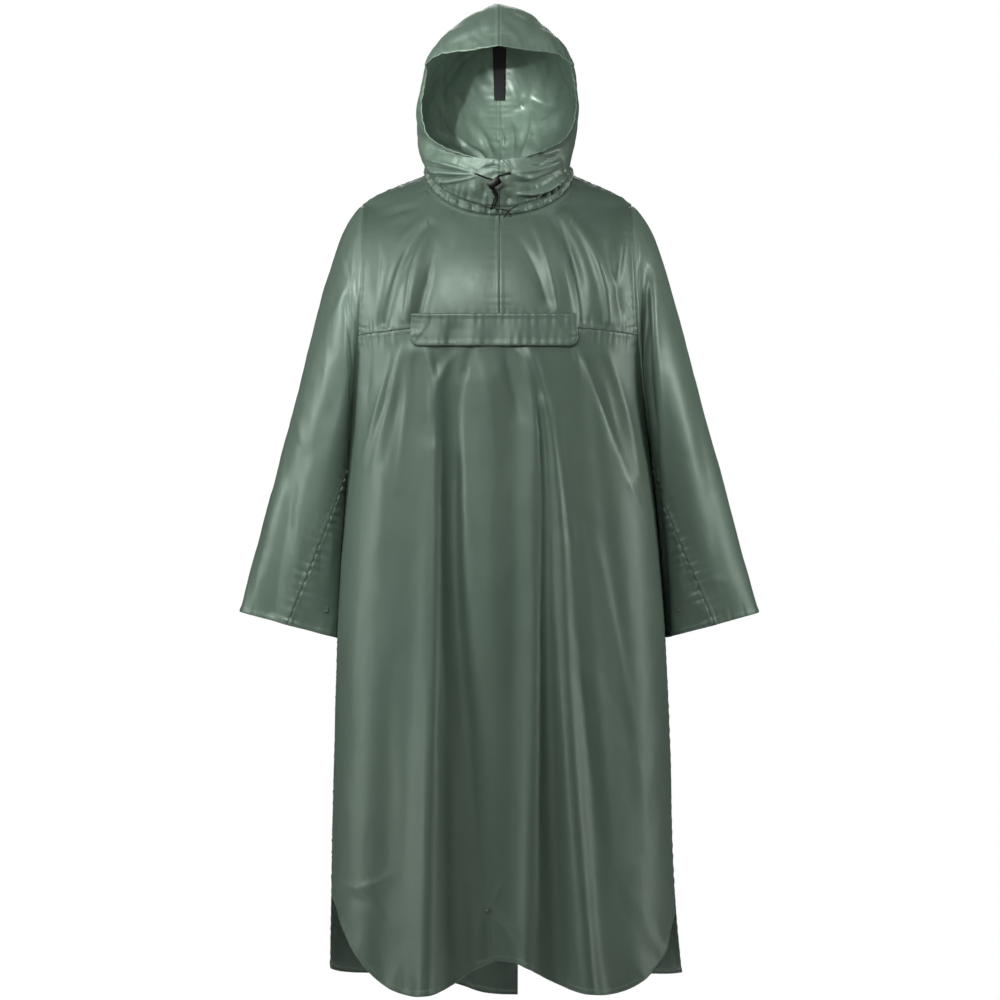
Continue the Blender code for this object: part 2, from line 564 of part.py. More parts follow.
def flap_grid():
    """The storm flap, on the columns of the panels under it, with round lower corners."""
    first, last = front_turn(FLAP_LEFT, FLAP_LOW_Z), front_turn(FLAP_RIGHT, FLAP_LOW_Z)
    panel = np.concatenate([column_turns(LEFT)[:-1], column_turns(RIGHT)])
    ease = 1 - np.cos(np.linspace(0, pi / 2, CORNER_STEPS + 1))
    corner = FLAP_CORNER / (FLAP_RIGHT - FLAP_LEFT) * (last - first)
    inner = panel[(panel > first + corner * CORNER_CLEAR) & (panel < last - corner * CORNER_CLEAR)]
    columns = []
    for turn in np.concatenate([first + corner * ease, inner, last - corner * ease[::-1]]):
        x, _, _ = body_points(FRONT, np.array(turn), np.array(FLAP_LOW_Z), folds=False)
        start = max(1 - min(x - FLAP_LEFT, FLAP_RIGHT - x) / FLAP_CORNER, 0)
        low = FLAP_LOW_Z + FLAP_CORNER * (1 - sqrt(max(1 - start ** 2, 0)))
        z = np.concatenate([[FLAP_TOP_Z], np.linspace(FLAP_TOP_Z - FLAP_BAND, low, FLAP_ROWS)])
        points = column(FRONT, turn, z)
        free = np.clip((FLAP_TOP_Z - FLAP_BAND - z) / (FLAP_TOP_Z - FLAP_BAND - FLAP_LOW_Z), 0, 1)
        outward = WALL + TRIM_GAP * 2 + FLAP_FREE * free
        points[:, 0] += outward * sin(turn) * FLAP_LEAN
        points[:, 1] -= outward
        columns.append(points)
    return np.stack(columns, axis=1)


def tape_grid():
    """The webbing tab on the hood's centre-back seam, inside the hood."""
    left, right = hood_grid(LEFT), hood_grid(RIGHT)
    rows = np.array((TAPE_LOW, *TAPE_ROWS))
    half = np.linspace(TAPE_WIDTHS[0], TAPE_WIDTHS[1], len(rows)) / 2
    middle = between(left, rows, 0 * rows)
    sides = []
    for grid in (left, right):
        reach = np.abs(between(grid, rows, 0 * rows + 1)[:, 0])
        sides.append(between(grid, rows, half / reach))
    points = np.stack([sides[0], middle, sides[1]], axis=1)
    rise = np.gradient(middle, axis=0)
    inward = np.stack([0 * half, -rise[:, 2], rise[:, 1]], axis=-1)
    inward = inward / np.linalg.norm(inward, axis=-1, keepdims=True)
    return points + (inward * (WALL + TAPE_GAP))[:, None]


def between(points, row, column):
    """Points on a grid's facets at fractional rows and columns."""
    r = np.clip(np.floor(row).astype(int), 0, points.shape[0] - 2)
    c = np.clip(np.floor(column).astype(int), 0, points.shape[1] - 2)
    v, u = (row - r)[..., None], (column - c)[..., None]
    upper = points[r, c] * (1 - u) + points[r, c + 1] * u
    lower = points[r + 1, c] * (1 - u) + points[r + 1, c + 1] * u
    return upper * (1 - v) + lower * v


def front_spot(points, x, z):
    """The spot of a grid seen from the front at x, z, and the cloth's outward direction there."""
    rows, columns = points.shape[0] - 1, points.shape[1] - 1
    row, column, reach = rows / 2, columns / 2, 0.5
    for _ in range(SPOT_ROUNDS):
        steps = np.linspace(-reach, reach, SPOT_PLACES)
        r, c = np.meshgrid(np.clip(row + rows * steps, 0, rows),
                           np.clip(column + columns * steps, 0, columns))
        spots = between(points, r, c)
        miss = np.hypot(spots[..., 0] - x, spots[..., 2] - z) + SPOT_FRONT * (spots[..., 1] + 1)
        best = np.unravel_index(np.argmin(miss), miss.shape)
        row, column, reach = r[best], c[best], reach / SPOT_CLOSER
    down = between(points, np.array(row + SPOT_STEP), np.array(column))
    down = down - between(points, np.array(row - SPOT_STEP), np.array(column))
    across = between(points, np.array(row), np.array(column + SPOT_STEP))
    across = across - between(points, np.array(row), np.array(column - SPOT_STEP))
    outward = np.cross(across, down)
    outward = outward / np.linalg.norm(outward)
    return spots[best], outward if outward[1] < 0 else -outward


# ---------------------------------------------------------------- building
def material(name, colour, roughness, metallic=0.0):
    made = bpy.data.materials.new(name)
    made.use_nodes = True
    shader = made.node_tree.nodes["Principled BSDF"]
    shader.inputs["Base Color"].default_value = (*colour, 1.0)
    shader.inputs["Roughness"].default_value = roughness
    shader.inputs["Metallic"].default_value = metallic
    made.diffuse_color = (*colour, 1.0)
    return made


def add_object(name, data, finish):
    made = bpy.data.objects.new(name, data)
    made.data.materials.append(finish)
    bpy.data.collections[GARMENT].objects.link(made)
    return made


def inset(points, gaps):
    """Draw a grid's first and last rows and columns in along the surface, for the seams' gaps."""
    points = points.copy()
    for at, gap in zip(((0, None), (-1, None), (None, 0), (None, -1)), gaps):
        axis = 0 if at[1] is None else 1
        edge = at[axis]
        inner = 1 if edge == 0 else -2
        rim = np.take(points, edge, axis)
        inward = np.take(points, inner, axis) - rim
        length = np.linalg.norm(inward, axis=-1, keepdims=True)
        moved = rim + inward / np.maximum(length, 1e-9) * gap
        if axis == 0:
            points[edge] = moved
        else:
            points[:, edge] = moved
    return points


def cloth(name, points, finish, closed=False, flip=False, wall=WALL):
    """A cloth piece: a grid of points, rows by columns, given its wall inwards by Solidify."""
    rows, columns = points.shape[:2]
    mesh = bpy.data.meshes.new(name)
    last = columns if closed else columns - 1
    faces = []
    for r in range(rows - 1):
        for c in range(last):
            d = (c + 1) % columns
            face = (r * columns + c, r * columns + d, (r + 1) * columns + d, (r + 1) * columns + c)
            faces.append(face[::-1] if flip else face)
    mesh.from_pydata(points.reshape(-1, 3).tolist(), [], faces)
    mesh.shade_smooth()
    made = add_object(name, mesh, finish)
    solidify = made.modifiers.new("wall", "SOLIDIFY")
    solidify.thickness = wall
    solidify.offset = -1
    return made


def make_cloth(finish):
    """All the cloth pieces that hang from the shoulders and neck.

    Each back panel is one piece of cloth, but its solid is cut level with the armpit, so that each
    half's collision pieces follow the hollow.
    """
    for side, name in NAMES.items():
        inner, outer = (ROUND_SEAM, SEAM) if side < 0 else (SEAM, ROUND_SEAM)
        cloth("yoke_" + name, inset(yoke_grid(side), (ROUND_SEAM, SEAM, inner, outer)), finish, flip=True)
        back = back_grid(side)
        upper = inset(back[:ARMPIT_ROW + 1], (ROUND_SEAM, SEAM, inner, outer))
        cloth("back_upper_" + name, upper, finish)
        cloth("back_lower_" + name, inset(back[ARMPIT_ROW:], (SEAM, 0, inner, outer)), finish)
        cloth("sleeve_" + name, inset(sleeve_grid(side), (0, 0, GUSSET_SEAM, GUSSET_SEAM)), finish,
              flip=side < 0)
        cloth("gusset_" + name, inset(gusset_grid(side), (0, 0, GUSSET_SEAM, GUSSET_SEAM)), finish,
              flip=side < 0)
        cloth("hood_" + name, inset(hood_grid(side), (0, 0, ROUND_SEAM, ROUND_SEAM)), finish,
              flip=side > 0)
    cloth("front_panel", inset(front_panel_grid(), (SEAM, 0, ROUND_SEAM, ROUND_SEAM)), finish, flip=True)
    cloth("neck_casing", casing_grid(), finish, closed=True, flip=True)


def facing(spot, outward, lift=0.0):
    """Matrix that stands something on a spot, its Z along the outward direction."""
    turn = Vector(outward).to_track_quat("Z", "Y").to_matrix().to_4x4()
    return Matrix.Translation(Vector(spot + outward * lift)) @ turn


def turned(name, profile, steps, finish, closed=False):
    """Solid turned about Z from radius, height points that run down its outer side."""
    mesh = bpy.data.meshes.new(name)
    edges = [(i, i + 1) for i in range(len(profile) - 1)]
    if closed:
        edges.append((len(profile) - 1, 0))
    mesh.from_pydata([(radius, 0, height) for radius, height in profile], edges, [])
    made = add_object(name, mesh, finish)
    screw = made.modifiers.new("turn", "SCREW")
    screw.steps = steps
    screw.render_steps = steps
    screw.use_merge_vertices = True
    screw.merge_threshold = 0.00001
    return made


def snap(name, grid, spot, finish):
    place, outward = front_spot(grid, *spot)
    made = turned(name, SNAP_PROFILE, SNAP_STEPS, finish)
    made.matrix_world = facing(place, outward, SNAP_GAP)


def eyelet(name, grid, spot, finish):
    angles = [2 * pi * i / EYELET_SIDES for i in range(EYELET_SIDES)]
    ring = [(EYELET_RADIUS + EYELET_TUBE * sin(a), EYELET_TUBE * cos(a)) for a in angles]
    place, outward = front_spot(grid, *spot)
    made = turned(name, ring, EYELET_STEPS, finish, closed=True)
    made.matrix_world = facing(place, outward, EYELET_TUBE + EYELET_GAP)


def hard_block(name, size, shift, finish):
    """Bevelled block of the cord lock, by its shift from the lock's centre along the tilted axes."""
    mesh = bpy.data.meshes.new(name)
    box = bmesh.new()
    bmesh.ops.create_cube(box, size=1.0, matrix=Matrix.Diagonal((*size, 1.0)))
    box.to_mesh(mesh)
    box.free()
    made = add_object(name, mesh, finish)
    tilt = Matrix.Rotation(-LOCK_TILT, 4, "Y")
    made.matrix_world = Matrix.Translation(LOCK_CENTRE) @ tilt @ Matrix.Translation(shift)
    bevel = made.modifiers.new("edges", "BEVEL")
    bevel.width = HARD_BEVEL
    bevel.segments = 2


def knot(name, top, low, radius, finish):
    """A tight knot, drawn out from its top to its low end."""
    middle = (np.array(top) + np.array(low)) / 2
    axis = np.array(top) - middle
    half = float(np.linalg.norm(axis))
    angles = [pi * i / (KNOT_STEPS // 2) for i in range(KNOT_STEPS // 2 + 1)]
    profile = [(radius * sin(a), half * cos(a)) for a in angles]
    profile[0] = (0.0, half)
    profile[-1] = (0.0, -half)
    made = turned(name, profile, KNOT_STEPS, finish)
    made.matrix_world = facing(middle, axis)


def cord(name, diameter, route, finish):
    """A cord along a smooth curve through its route's points."""
    route = np.array(route)
    at = np.arange(len(route), dtype=float)
    steps = np.linspace(0, at[-1], (len(route) - 1) * ROUTE_STEPS + 1)
    points = np.stack([along(steps, at, route[:, axis]) for axis in range(3)], axis=-1)
    curve = bpy.data.curves.new(name, "CURVE")
    curve.dimensions = "3D"
    curve.bevel_depth = diameter / 2
    curve.bevel_resolution = 2
    curve.use_fill_caps = True
    line = curve.splines.new("POLY")
    line.points.add(len(points) - 1)
    for point, place in zip(line.points, points):
        point.co = (*place, 1.0)
    add_object(name, curve, finish)


def make_trim(nylon, webbing, braid, plastic, stud):
    """The flap, and what is sewn, clipped and threaded on."""
    cloth("chest_flap", flap_grid(), nylon, flip=True)
    cloth("hood_tape", tape_grid(), webbing, flip=True, wall=TAPE_WALL)
    for side, spot in zip((LEFT, RIGHT), EYELET_SPOTS):
        eyelet("eyelet_" + NAMES[side], hood_grid(side), spot, plastic)
        snap("snap_cuff_" + NAMES[side], gusset_grid(side), CUFF_SNAP_SPOTS[side], stud)
    snap("snap_hem", front_panel_grid(), HEM_SNAP_SPOT, stud)
    hard_block("cord_lock", LOCK_SIZE, (0, 0, 0), plastic)
    hard_block("cord_plunger", PLUNGER_SIZE, PLUNGER_SHIFT, plastic)
    knot("cord_knot", KNOT_TOP, KNOT_LOW, KNOT_RADIUS, braid)
    for name, (diameter, route) in CORD_ROUTES.items():
        cord(name, diameter, route, braid)


def main():
    for old in list(bpy.data.objects):
        bpy.data.objects.remove(old)
    garment = bpy.data.collections.new(GARMENT)
    bpy.context.scene.collection.children.link(garment)
    nylon = material("nylon", (0.10, 0.16, 0.12), 0.4)
    make_cloth(nylon)
    webbing = material("webbing", (0.012, 0.013, 0.013), 0.8)
    braid = material("braid", (0.01, 0.01, 0.01), 0.7)
    plastic = material("black_plastic", (0.015, 0.016, 0.016), 0.45)
    stud = material("green_plastic", (0.10, 0.17, 0.13), 0.5)
    make_trim(nylon, webbing, braid, plastic, stud)


main()
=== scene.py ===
"""Hooded rain poncho in coated nylon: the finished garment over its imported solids.

Metres, +Z up, front towards -Y. The cloth pieces are thin shells on surfaces like those of their solids,
worked out again at a finer pitch: the large folds are placed more closely, and creases, gathers, hems and
seams are added.
"""
import bpy
import bmesh
import numpy as np
from math import asin, cos, pi, radians, sin, sqrt
from mathutils import Matrix, Vector
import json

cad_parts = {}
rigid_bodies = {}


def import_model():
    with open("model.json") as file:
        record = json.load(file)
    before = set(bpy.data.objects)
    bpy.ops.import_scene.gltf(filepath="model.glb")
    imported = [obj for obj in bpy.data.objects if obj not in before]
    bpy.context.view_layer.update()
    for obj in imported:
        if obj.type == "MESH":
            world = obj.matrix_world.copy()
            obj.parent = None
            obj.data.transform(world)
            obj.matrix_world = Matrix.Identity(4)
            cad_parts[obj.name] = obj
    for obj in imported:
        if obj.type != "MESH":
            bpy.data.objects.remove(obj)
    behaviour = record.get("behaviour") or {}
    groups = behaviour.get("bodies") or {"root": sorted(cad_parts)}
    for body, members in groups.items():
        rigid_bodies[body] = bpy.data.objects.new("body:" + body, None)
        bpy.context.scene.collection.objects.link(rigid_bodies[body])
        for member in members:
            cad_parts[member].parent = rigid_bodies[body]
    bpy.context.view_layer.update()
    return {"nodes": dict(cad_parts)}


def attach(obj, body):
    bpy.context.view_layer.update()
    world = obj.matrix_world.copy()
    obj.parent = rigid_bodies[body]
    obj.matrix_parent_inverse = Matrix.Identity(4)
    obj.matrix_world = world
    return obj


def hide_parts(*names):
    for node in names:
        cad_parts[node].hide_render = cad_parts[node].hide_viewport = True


for old in list(bpy.data.objects):
    bpy.data.objects.remove(old)
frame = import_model()

# ---------------------------------------------------------------- driving sizes
WALL = 0.0012                # cloth wall
SEAM = 0.00018               # each piece's half of the gap at a flat seam
ARMHOLE_GAP = 0.0007         # gap between body and sleeve, where the walls meet at an angle
SLEEVE_CLEAR = 0.0025        # how far the sleeve hangs clear of the body below the armhole
CLEAR_SHARE = 0.12           # share of the sleeve's length over which it comes clear
TRIM_GAP = 0.0004            # trim to the cloth under it

NECK_HALF_WIDTH = 0.108
NECK_CENTRE_Y = -0.017
NECK_HALF_DEPTH = 0.085
NECK_FRONT_Z = -0.045
NECK_BACK_Z = 0.020
CASING_BULGE = 0.0035
CASING_GATHERS = 26
GATHER_DEPTH = 0.0011

ARMHOLE_TOP_Z = -0.0285
ARMHOLE_LOW_Z = -0.430
ARMHOLE_DEPTH = 0.095
ARMHOLE_ROUND = 0.64         # 0.5 makes the armhole round above, 1 makes it pointed there too
ARMHOLE_BLEND = 3.0          # how closely the armhole's depth keeps to the body's side
SECTION_POWER = 2.8          # 2 makes the body's level section an ellipse, more makes it squarer
YOKE_SEAM_Z = -0.2105
YOKE_SEAM_DROP = 0.015       # how much lower the yoke seam ends at the armhole
SLIT_TOP_Z = -1.046
VENT_TOP_Z = -0.975          # the centre-back vent: the left panel passes under the right one
VENT_EASE = 0.055
VENT_REACH = 0.030
VENT_INWARD = 0.006
VENT_UNDERLAP = 0.028

SHOULDER_ROUND = {"front": 0.25, "back": 0.14}
SHOULDER_POWER = {"front": 0.6, "back": 0.5}

CUFF_Z = -0.6612
CUFF_TILT = radians(15.1)
CUFF_DEPTH = 0.055
CUFF_FLATNESS = 0.65
SLEEVE_BULGE = 0.0235
GUSSET_TOP_ANGLE = radians(26.4)
GUSSET_CUFF_ANGLE = radians(92)
SLEEVE_BULGE_START = 0.05
TROUGH_DOWN = 0.07           # the fold beside the armhole: its place down the sleeve and its width
TROUGH_WIDTH = 0.04
TROUGH_ANGLE = radians(75)

# ---------------------------------------------------------------- tables
BODY_COLUMNS = ("z", "left", "right", "front", "back")
BODY_SECTIONS = (
    (0.060, 0.2060, 0.1985, 0.140, 0.112),
    (-0.037, 0.2064, 0.1990, 0.140, 0.118),
    (-0.200, 0.2113, 0.2050, 0.143, 0.134),
    (-0.310, 0.2200, 0.2160, 0.147, 0.138),
    (-0.430, 0.2280, 0.2300, 0.150, 0.142),
    (-0.620, 0.2410, 0.2455, 0.156, 0.152),
    (-0.831, 0.2475, 0.2558, 0.164, 0.166),
    (-1.046, 0.2528, 0.2622, 0.172, 0.180),
    (-1.240, 0.2565, 0.2795, 0.180, 0.190),
)

# The shoulder line, by its share of the way from the middle to the armhole.
SHOULDER_COLUMNS = ("share", "z")
SHOULDER_LINE = (
    (0.00, 0.0460),
    (0.17, 0.0435),
    (0.34, 0.0350),
    (0.53, 0.0188),
    (0.71, 0.0032),
    (0.83, -0.0070),
    (0.94, -0.0185),
    (1.00, ARMHOLE_TOP_Z),
)

HEM_COLUMNS = ("panel", "side_z", "fall", "power", "root", "arch", "arch_width")
HEM_SHAPES = (
    ("front_left", SLIT_TOP_Z, 0.1785, 4.2, 0.75, 0.064, 0.30),
    ("front_right", SLIT_TOP_Z, 0.1755, 4.7, 0.50, 0.061, 0.34),
    ("back_left", -1.178, 0.016, 9.0, 0.50, -0.034, 0.33),
    ("back_right", -1.186, 0.010, 9.0, 0.50, 0.028, 0.45),
)

# Folds, in millimetres: a smooth path through three points as seen from the front, half-width at its
# ends, rise at its start, middle and end.
FOLD_COLUMNS = ("x1", "z1", "x2", "z2", "x3", "z3", "width1", "width3", "rise1", "rise2", "rise3")
CREASE_COLUMNS = FOLD_COLUMNS + ("skew", "power")
PATH_POINTS = 33
FOLD_REACH = 4               # half-widths beyond which a fold's rise is left out
FRONT_FOLDS = (
    (-97, -400, -105, -780, -117, -1260, 19, 25, 4, 15, 24),
    (-68, -220, -74, -660, -50, -1260, 14, 26, -4, -13, -20),
    (-18, -300, -16, -700, -10, -1240, 30, 34, 3, 6, 4),
    (46, -260, 48, -740, 36, -1240, 14, 18, 3, 9, 13),
    (66, -350, 71, -700, 86, -1260, 10, 14, -2, -6, -9),
    (68, -330, 103, -760, 137, -1280, 15, 22, 3, 10, 17),
    (100, -360, 142, -720, 164, -1150, 12, 18, 2, 5, 3),
    (132, -270, 180, -700, 205, -1000, 12, 18, -2, -5, -4),
    (-137, -250, -172, -400, -190, -620, 12, 20, 4, 6, 3),
    (-160, -700, -170, -950, -178, -1260, 18, 22, -1, -6, -12),
)
YOKE_FOLDS = (
    (-80, -45, -118, -95, -140, -185, 10, 13, 2, 7, 5),
    (-102, -70, -136, -125, -172, -205, 10, 13, -1, -6, -4),
    (70, -45, 106, -100, 138, -200, 9, 14, -3, -6, -4),
    (90, -45, 140, -90, 168, -200, 9, 13, 2, 7, 5),
)
BACK_FOLDS = (
    (-150, -200, -146, -700, -158, -1280, 18, 24, 2, 12, 18),
    (-100, -350, -104, -750, -108, -1280, 16, 22, -2, -10, -15),
    (-58, -120, -60, -650, -64, -1290, 16, 24, 2, 10, 16),
    (56, -150, 62, -700, 70, -1290, 16, 24, 2, 11, 16),
    (104, -350, 110, -750, 116, -1280, 16, 22, -2, -10, -14),
    (146, -200, 152, -700, 162, -1270, 18, 24, 2, 12, 17),
)

# Hood sections from the neck edge up to the peak: the seam point, the half-width, the free edge,
# the side's bow, the roundness of the section and how much narrower its right side is.
HOOD_COLUMNS = ("mid_y", "mid_z", "width", "edge_x", "edge_y", "edge_z", "bow_z", "round", "narrow")
HOOD_SECTIONS = (
    (0.068, 0.0325, 0.108, 0.000, -0.1020, -0.0325, 0.0285, 2.0, 0.040),
    (0.078, 0.050, 0.117, 0.000, -0.1090, -0.0120, 0.0200, 2.0, 0.095),
    (0.098, 0.076, 0.121, 0.000, -0.1120, 0.0120, 0.0140, 2.0, 0.085),
    (0.118, 0.106, 0.123, 0.000, -0.1080, 0.0360, 0.0000, 1.95, 0.070),
    (0.131, 0.135, 0.1235, 0.045, -0.1010, 0.0435, 0.0040, 1.9, 0.045),
    (0.137, 0.165, 0.1235, 0.094, -0.0900, 0.0640, 0.0050, 1.8, 0.032),
    (0.133, 0.197, 0.1220, 0.113, -0.0800, 0.0930, 0.0040, 1.7, 0.010),
    (0.114, 0.228, 0.1195, 0.1165, -0.0800, 0.1180, 0.0020, 1.62, 0.0),
    (0.079, 0.254, 0.1165, 0.1130, -0.0840, 0.1390, 0.0, 1.52, 0.0),
    (0.030, 0.2715, 0.1135, 0.1100, -0.0900, 0.1550, 0.0, 1.46, 0.0),
    (-0.028, 0.2770, 0.1110, 0.1080, -0.0960, 0.1660, 0.0, 1.44, 0.0),
    (-0.090, 0.2570, 0.1105, 0.1080, -0.1010, 0.1730, 0.0, 1.52, 0.0),
    (-0.148, 0.2050, 0.1095, 0.1090, -0.1060, 0.1780, 0.0, 1.6, 0.0),
)

CUFF_COLUMNS = ("side", "x", "y", "half_width", "trough")
CUFF_SHAPES = (
    (-1, 0.3178, 0.035, 0.0762, 0.004),
    (1, 0.3216, 0.030, 0.0724, 0.016),
)

# The storm flap over the yoke seam.
FLAP_LEFT = -0.133
FLAP_RIGHT = 0.1165
FLAP_TOP_Z = -0.1935
FLAP_LOW_Z = -0.2415
FLAP_CORNER = 0.014
FLAP_BAND = 0.0085           # height of the stitched band along its top
FLAP_FREE = 0.0030           # how far its loose lower edge stands off

# Trim.
EYELET_RADIUS = 0.0033
EYELET_TUBE = 0.0010
LOCK_CENTRE = (-0.00795, -0.1180, 0.0024)
LOCK_TILT = radians(35)
LOCK_SIZE = (0.020, 0.0095, 0.011)
PLUNGER_SHIFT = (0.0040, 0.0, -0.00835)
PLUNGER_SIZE = (0.015, 0.0075, 0.0050)

# Diameters of the cords, the hood cord's way through the lock, and each cord's own route.
HOOD_CORD = 0.0028
HOOD_CORD_END = 0.0026
NECK_CORD = 0.0020
KNOT_TOP = (-0.00994, -0.1180, -0.00660)
KNOT_LOW = (-0.00455, -0.1136, -0.01615)
KNOT_RADIUS = 0.0033
KNOT_TURNS = 2.2
LOCK_ROUTE = ((-0.0076, -0.1180, 0.0030), (-0.0102, -0.1180, -0.0050), (-0.0076, -0.1160, -0.0110))
CORD_ROUTES = {
    "hood_cord_left": (
        (-0.0364, -0.1070, 0.0174), (-0.0362, -0.1094, 0.0172), (-0.0338, -0.1124, 0.0158),
        (-0.0285, -0.1150, 0.0134), (-0.0222, -0.1168, 0.0112), (-0.0165, -0.1177, 0.0093),
        (-0.0122, -0.1180, 0.0076)),
    "hood_cord_right": (
        (0.0166, -0.1104, 0.0181), (0.0162, -0.1128, 0.0180), (0.0140, -0.1152, 0.0172),
        (0.0106, -0.1170, 0.0162), (0.0064, -0.1178, 0.0150), (0.0026, -0.1180, 0.0139),
        (-0.0008, -0.1180, 0.0130)),
    "hood_cord_end_left": (
        (-0.0058, -0.1133, -0.0181), (-0.0078, -0.1118, -0.0225), (-0.0098, -0.1100, -0.0285),
        (-0.0115, -0.1090, -0.0334), (-0.01335, -0.1072, -0.0378)),
    "hood_cord_end_right": (
        (-0.0025, -0.1131, -0.0163), (-0.0034, -0.1118, -0.0198), (-0.0048, -0.1103, -0.0245),
        (-0.0065, -0.1094, -0.0294), (-0.00825, -0.1094, -0.0342)),
    "neck_cord_left": (
        (-0.0285, -0.1020, -0.0306), (-0.0200, -0.1044, -0.0333), (-0.0100, -0.1062, -0.0352),
        (0.0000, -0.1086, -0.0366), (0.0080, -0.1077, -0.0376), (0.0128, -0.1074, -0.0392),
        (0.0156, -0.1073, -0.0432), (0.0168, -0.1077, -0.0479)),
    "neck_cord_right": (
        (0.0285, -0.1017, -0.0297), (0.0245, -0.1040, -0.0318), (0.0205, -0.1070, -0.0342),
        (0.0165, -0.1093, -0.0364), (0.0125, -0.1099, -0.0392), (0.0095, -0.1086, -0.0436),
        (0.0069, -0.1082, -0.0483)),
}

TAPE_LOW, TAPE_TOP = 4.0, 7.6    # the webbing's ends, as rows of the hood's table
TAPE_WIDTHS = (0.016, 0.022)
TAPE_WALL = 0.0010
TAPE_GAP = 0.0006
TAPE_STEPS = (44, 11)        # grid rows and columns

FRONT, BACK = -1, 1
LEFT, RIGHT = -1, 1          # as seen from the front: -X and +X
NAMES = {LEFT: "left", RIGHT: "right"}


# ---------------------------------------------------------------- helpers
def named(rows, columns):
    """The table's columns as arrays, by name."""
    return {name: np.array([row[i] for row in rows]) for i, name in enumerate(columns)}


def along(position, stations, values):
    """Value on the smooth curve through the stations, which rise."""
    slopes = np.gradient(values, stations)
    at = np.clip(np.searchsorted(stations, position) - 1, 0, len(stations) - 2)
    length = stations[at + 1] - stations[at]
    t = np.clip((position - stations[at]) / length, 0, 1)
    start, end = values[at], values[at + 1]
    ease = t * t * (3 - 2 * t)
    bend = t * (1 - t) * length
    return start + (end - start) * ease + bend * ((1 - t) * slopes[at] - t * slopes[at + 1])


BODY = named(BODY_SECTIONS[::-1], BODY_COLUMNS)
SHOULDER = named(SHOULDER_LINE, SHOULDER_COLUMNS)
HOOD = named(HOOD_SECTIONS, HOOD_COLUMNS)
HEMS = {row[0]: dict(zip(HEM_COLUMNS[1:], row[1:])) for row in HEM_SHAPES}
CUFFS = {row[0]: dict(zip(CUFF_COLUMNS[1:], row[1:])) for row in CUFF_SHAPES}


def signed_power(value, power):
    return np.sign(value) * np.abs(value) ** power


# ---------------------------------------------------------------- the garment's surfaces
def half_width(z, side):
    """Distance from the middle to the armhole or side seam."""
    return along(z, BODY["z"], BODY[NAMES[side]])


def top_half_width(side):
    return float(half_width(np.array(ARMHOLE_TOP_Z), side))


def shoulder_z(x):
    """Height of the shoulder line at a distance from the middle."""
    reach = np.where(x < 0, top_half_width(LEFT), top_half_width(RIGHT))
    return along(np.minimum(np.abs(x) / reach, 1), SHOULDER["share"], SHOULDER["z"])


def path_distance(x, z, row):
    """A row's values by name; then distance from its path, share of the way along and side, near it."""
    lengths = [length / 1000 for length in row[:len(FOLD_COLUMNS)]]
    fold = dict(zip(CREASE_COLUMNS, (*lengths, *row[len(FOLD_COLUMNS):])))
    middle_x = 2 * fold["x2"] - (fold["x1"] + fold["x3"]) / 2
    middle_z = 2 * fold["z2"] - (fold["z1"] + fold["z3"]) / 2
    t = np.linspace(0, 1, PATH_POINTS)
    path_x = (1 - t) ** 2 * fold["x1"] + 2 * t * (1 - t) * middle_x + t ** 2 * fold["x3"]
    path_z = (1 - t) ** 2 * fold["z1"] + 2 * t * (1 - t) * middle_z + t ** 2 * fold["z3"]
    reach = FOLD_REACH * max(fold["width1"], fold["width3"]) * (1 + abs(fold.get("skew", 0)))
    near = (x > path_x.min() - reach) & (x < path_x.max() + reach)
    near &= (z > path_z.min() - reach) & (z < path_z.max() + reach)
    px, pz = x[near][:, None], z[near][:, None]
    ahead_x, ahead_z = np.diff(path_x), np.diff(path_z)
    length = ahead_x ** 2 + ahead_z ** 2
    share = np.clip(((px - path_x[:-1]) * ahead_x + (pz - path_z[:-1]) * ahead_z) / length, 0, 1)
    off_x = px - path_x[:-1] - share * ahead_x
    off_z = pz - path_z[:-1] - share * ahead_z
    best = np.argmin(off_x ** 2 + off_z ** 2, axis=1)
    pick = np.arange(len(best))
    off_x, off_z = off_x[pick, best], off_z[pick, best]
    distance = np.hypot(off_x, off_z)
    turn = off_x * ahead_z[best] - off_z * ahead_x[best]
    turn = turn / np.maximum(distance * np.sqrt(length[best]), 1e-12)
    return fold, near, distance, (best + share[pick, best]) / (len(t) - 1), turn


def fold_rise(x, z, rows):
    """Sum of the folds and creases at each point, by its place as seen from the front."""
    x, z = np.broadcast_arrays(x, z)
    total = np.zeros(x.shape)
    for row in rows:
        fold, near, distance, place, turn = path_distance(x, z, row)
        if not near.any():
            continue
        width = fold["width1"] + (fold["width3"] - fold["width1"]) * place
        width = width * (1 - fold.get("skew", 0) * turn)
        rise = np.interp(place, (0, 0.5, 1), (fold["rise1"], fold["rise2"], fold["rise3"]))
        total[near] += rise * np.exp(-(distance / width) ** fold.get("power", 2))
    return total


def armhole_depth(z):
    """Half the armhole's depth, front to back, at a height: round above, pointed at the armpit."""
    share = np.clip((ARMHOLE_TOP_Z - z) / (ARMHOLE_TOP_Z - ARMHOLE_LOW_Z), 0, 1)
    return ARMHOLE_DEPTH * np.sin(pi * share ** ARMHOLE_ROUND)


def flatness(share):
    """Depth of the body's level section at a share of its half-width: flat, with round sides."""
    return (1 - share ** SECTION_POWER) ** (1 / SECTION_POWER)


def shoulder_rounding(x, z, name):
    """0 on the shoulder line, rising to 1 where the panel hangs straight."""
    fall = np.clip((shoulder_z(x) - z) / SHOULDER_ROUND[name], 0, 1)
    return (1 - (1 - fall) ** 2) ** SHOULDER_POWER[name]


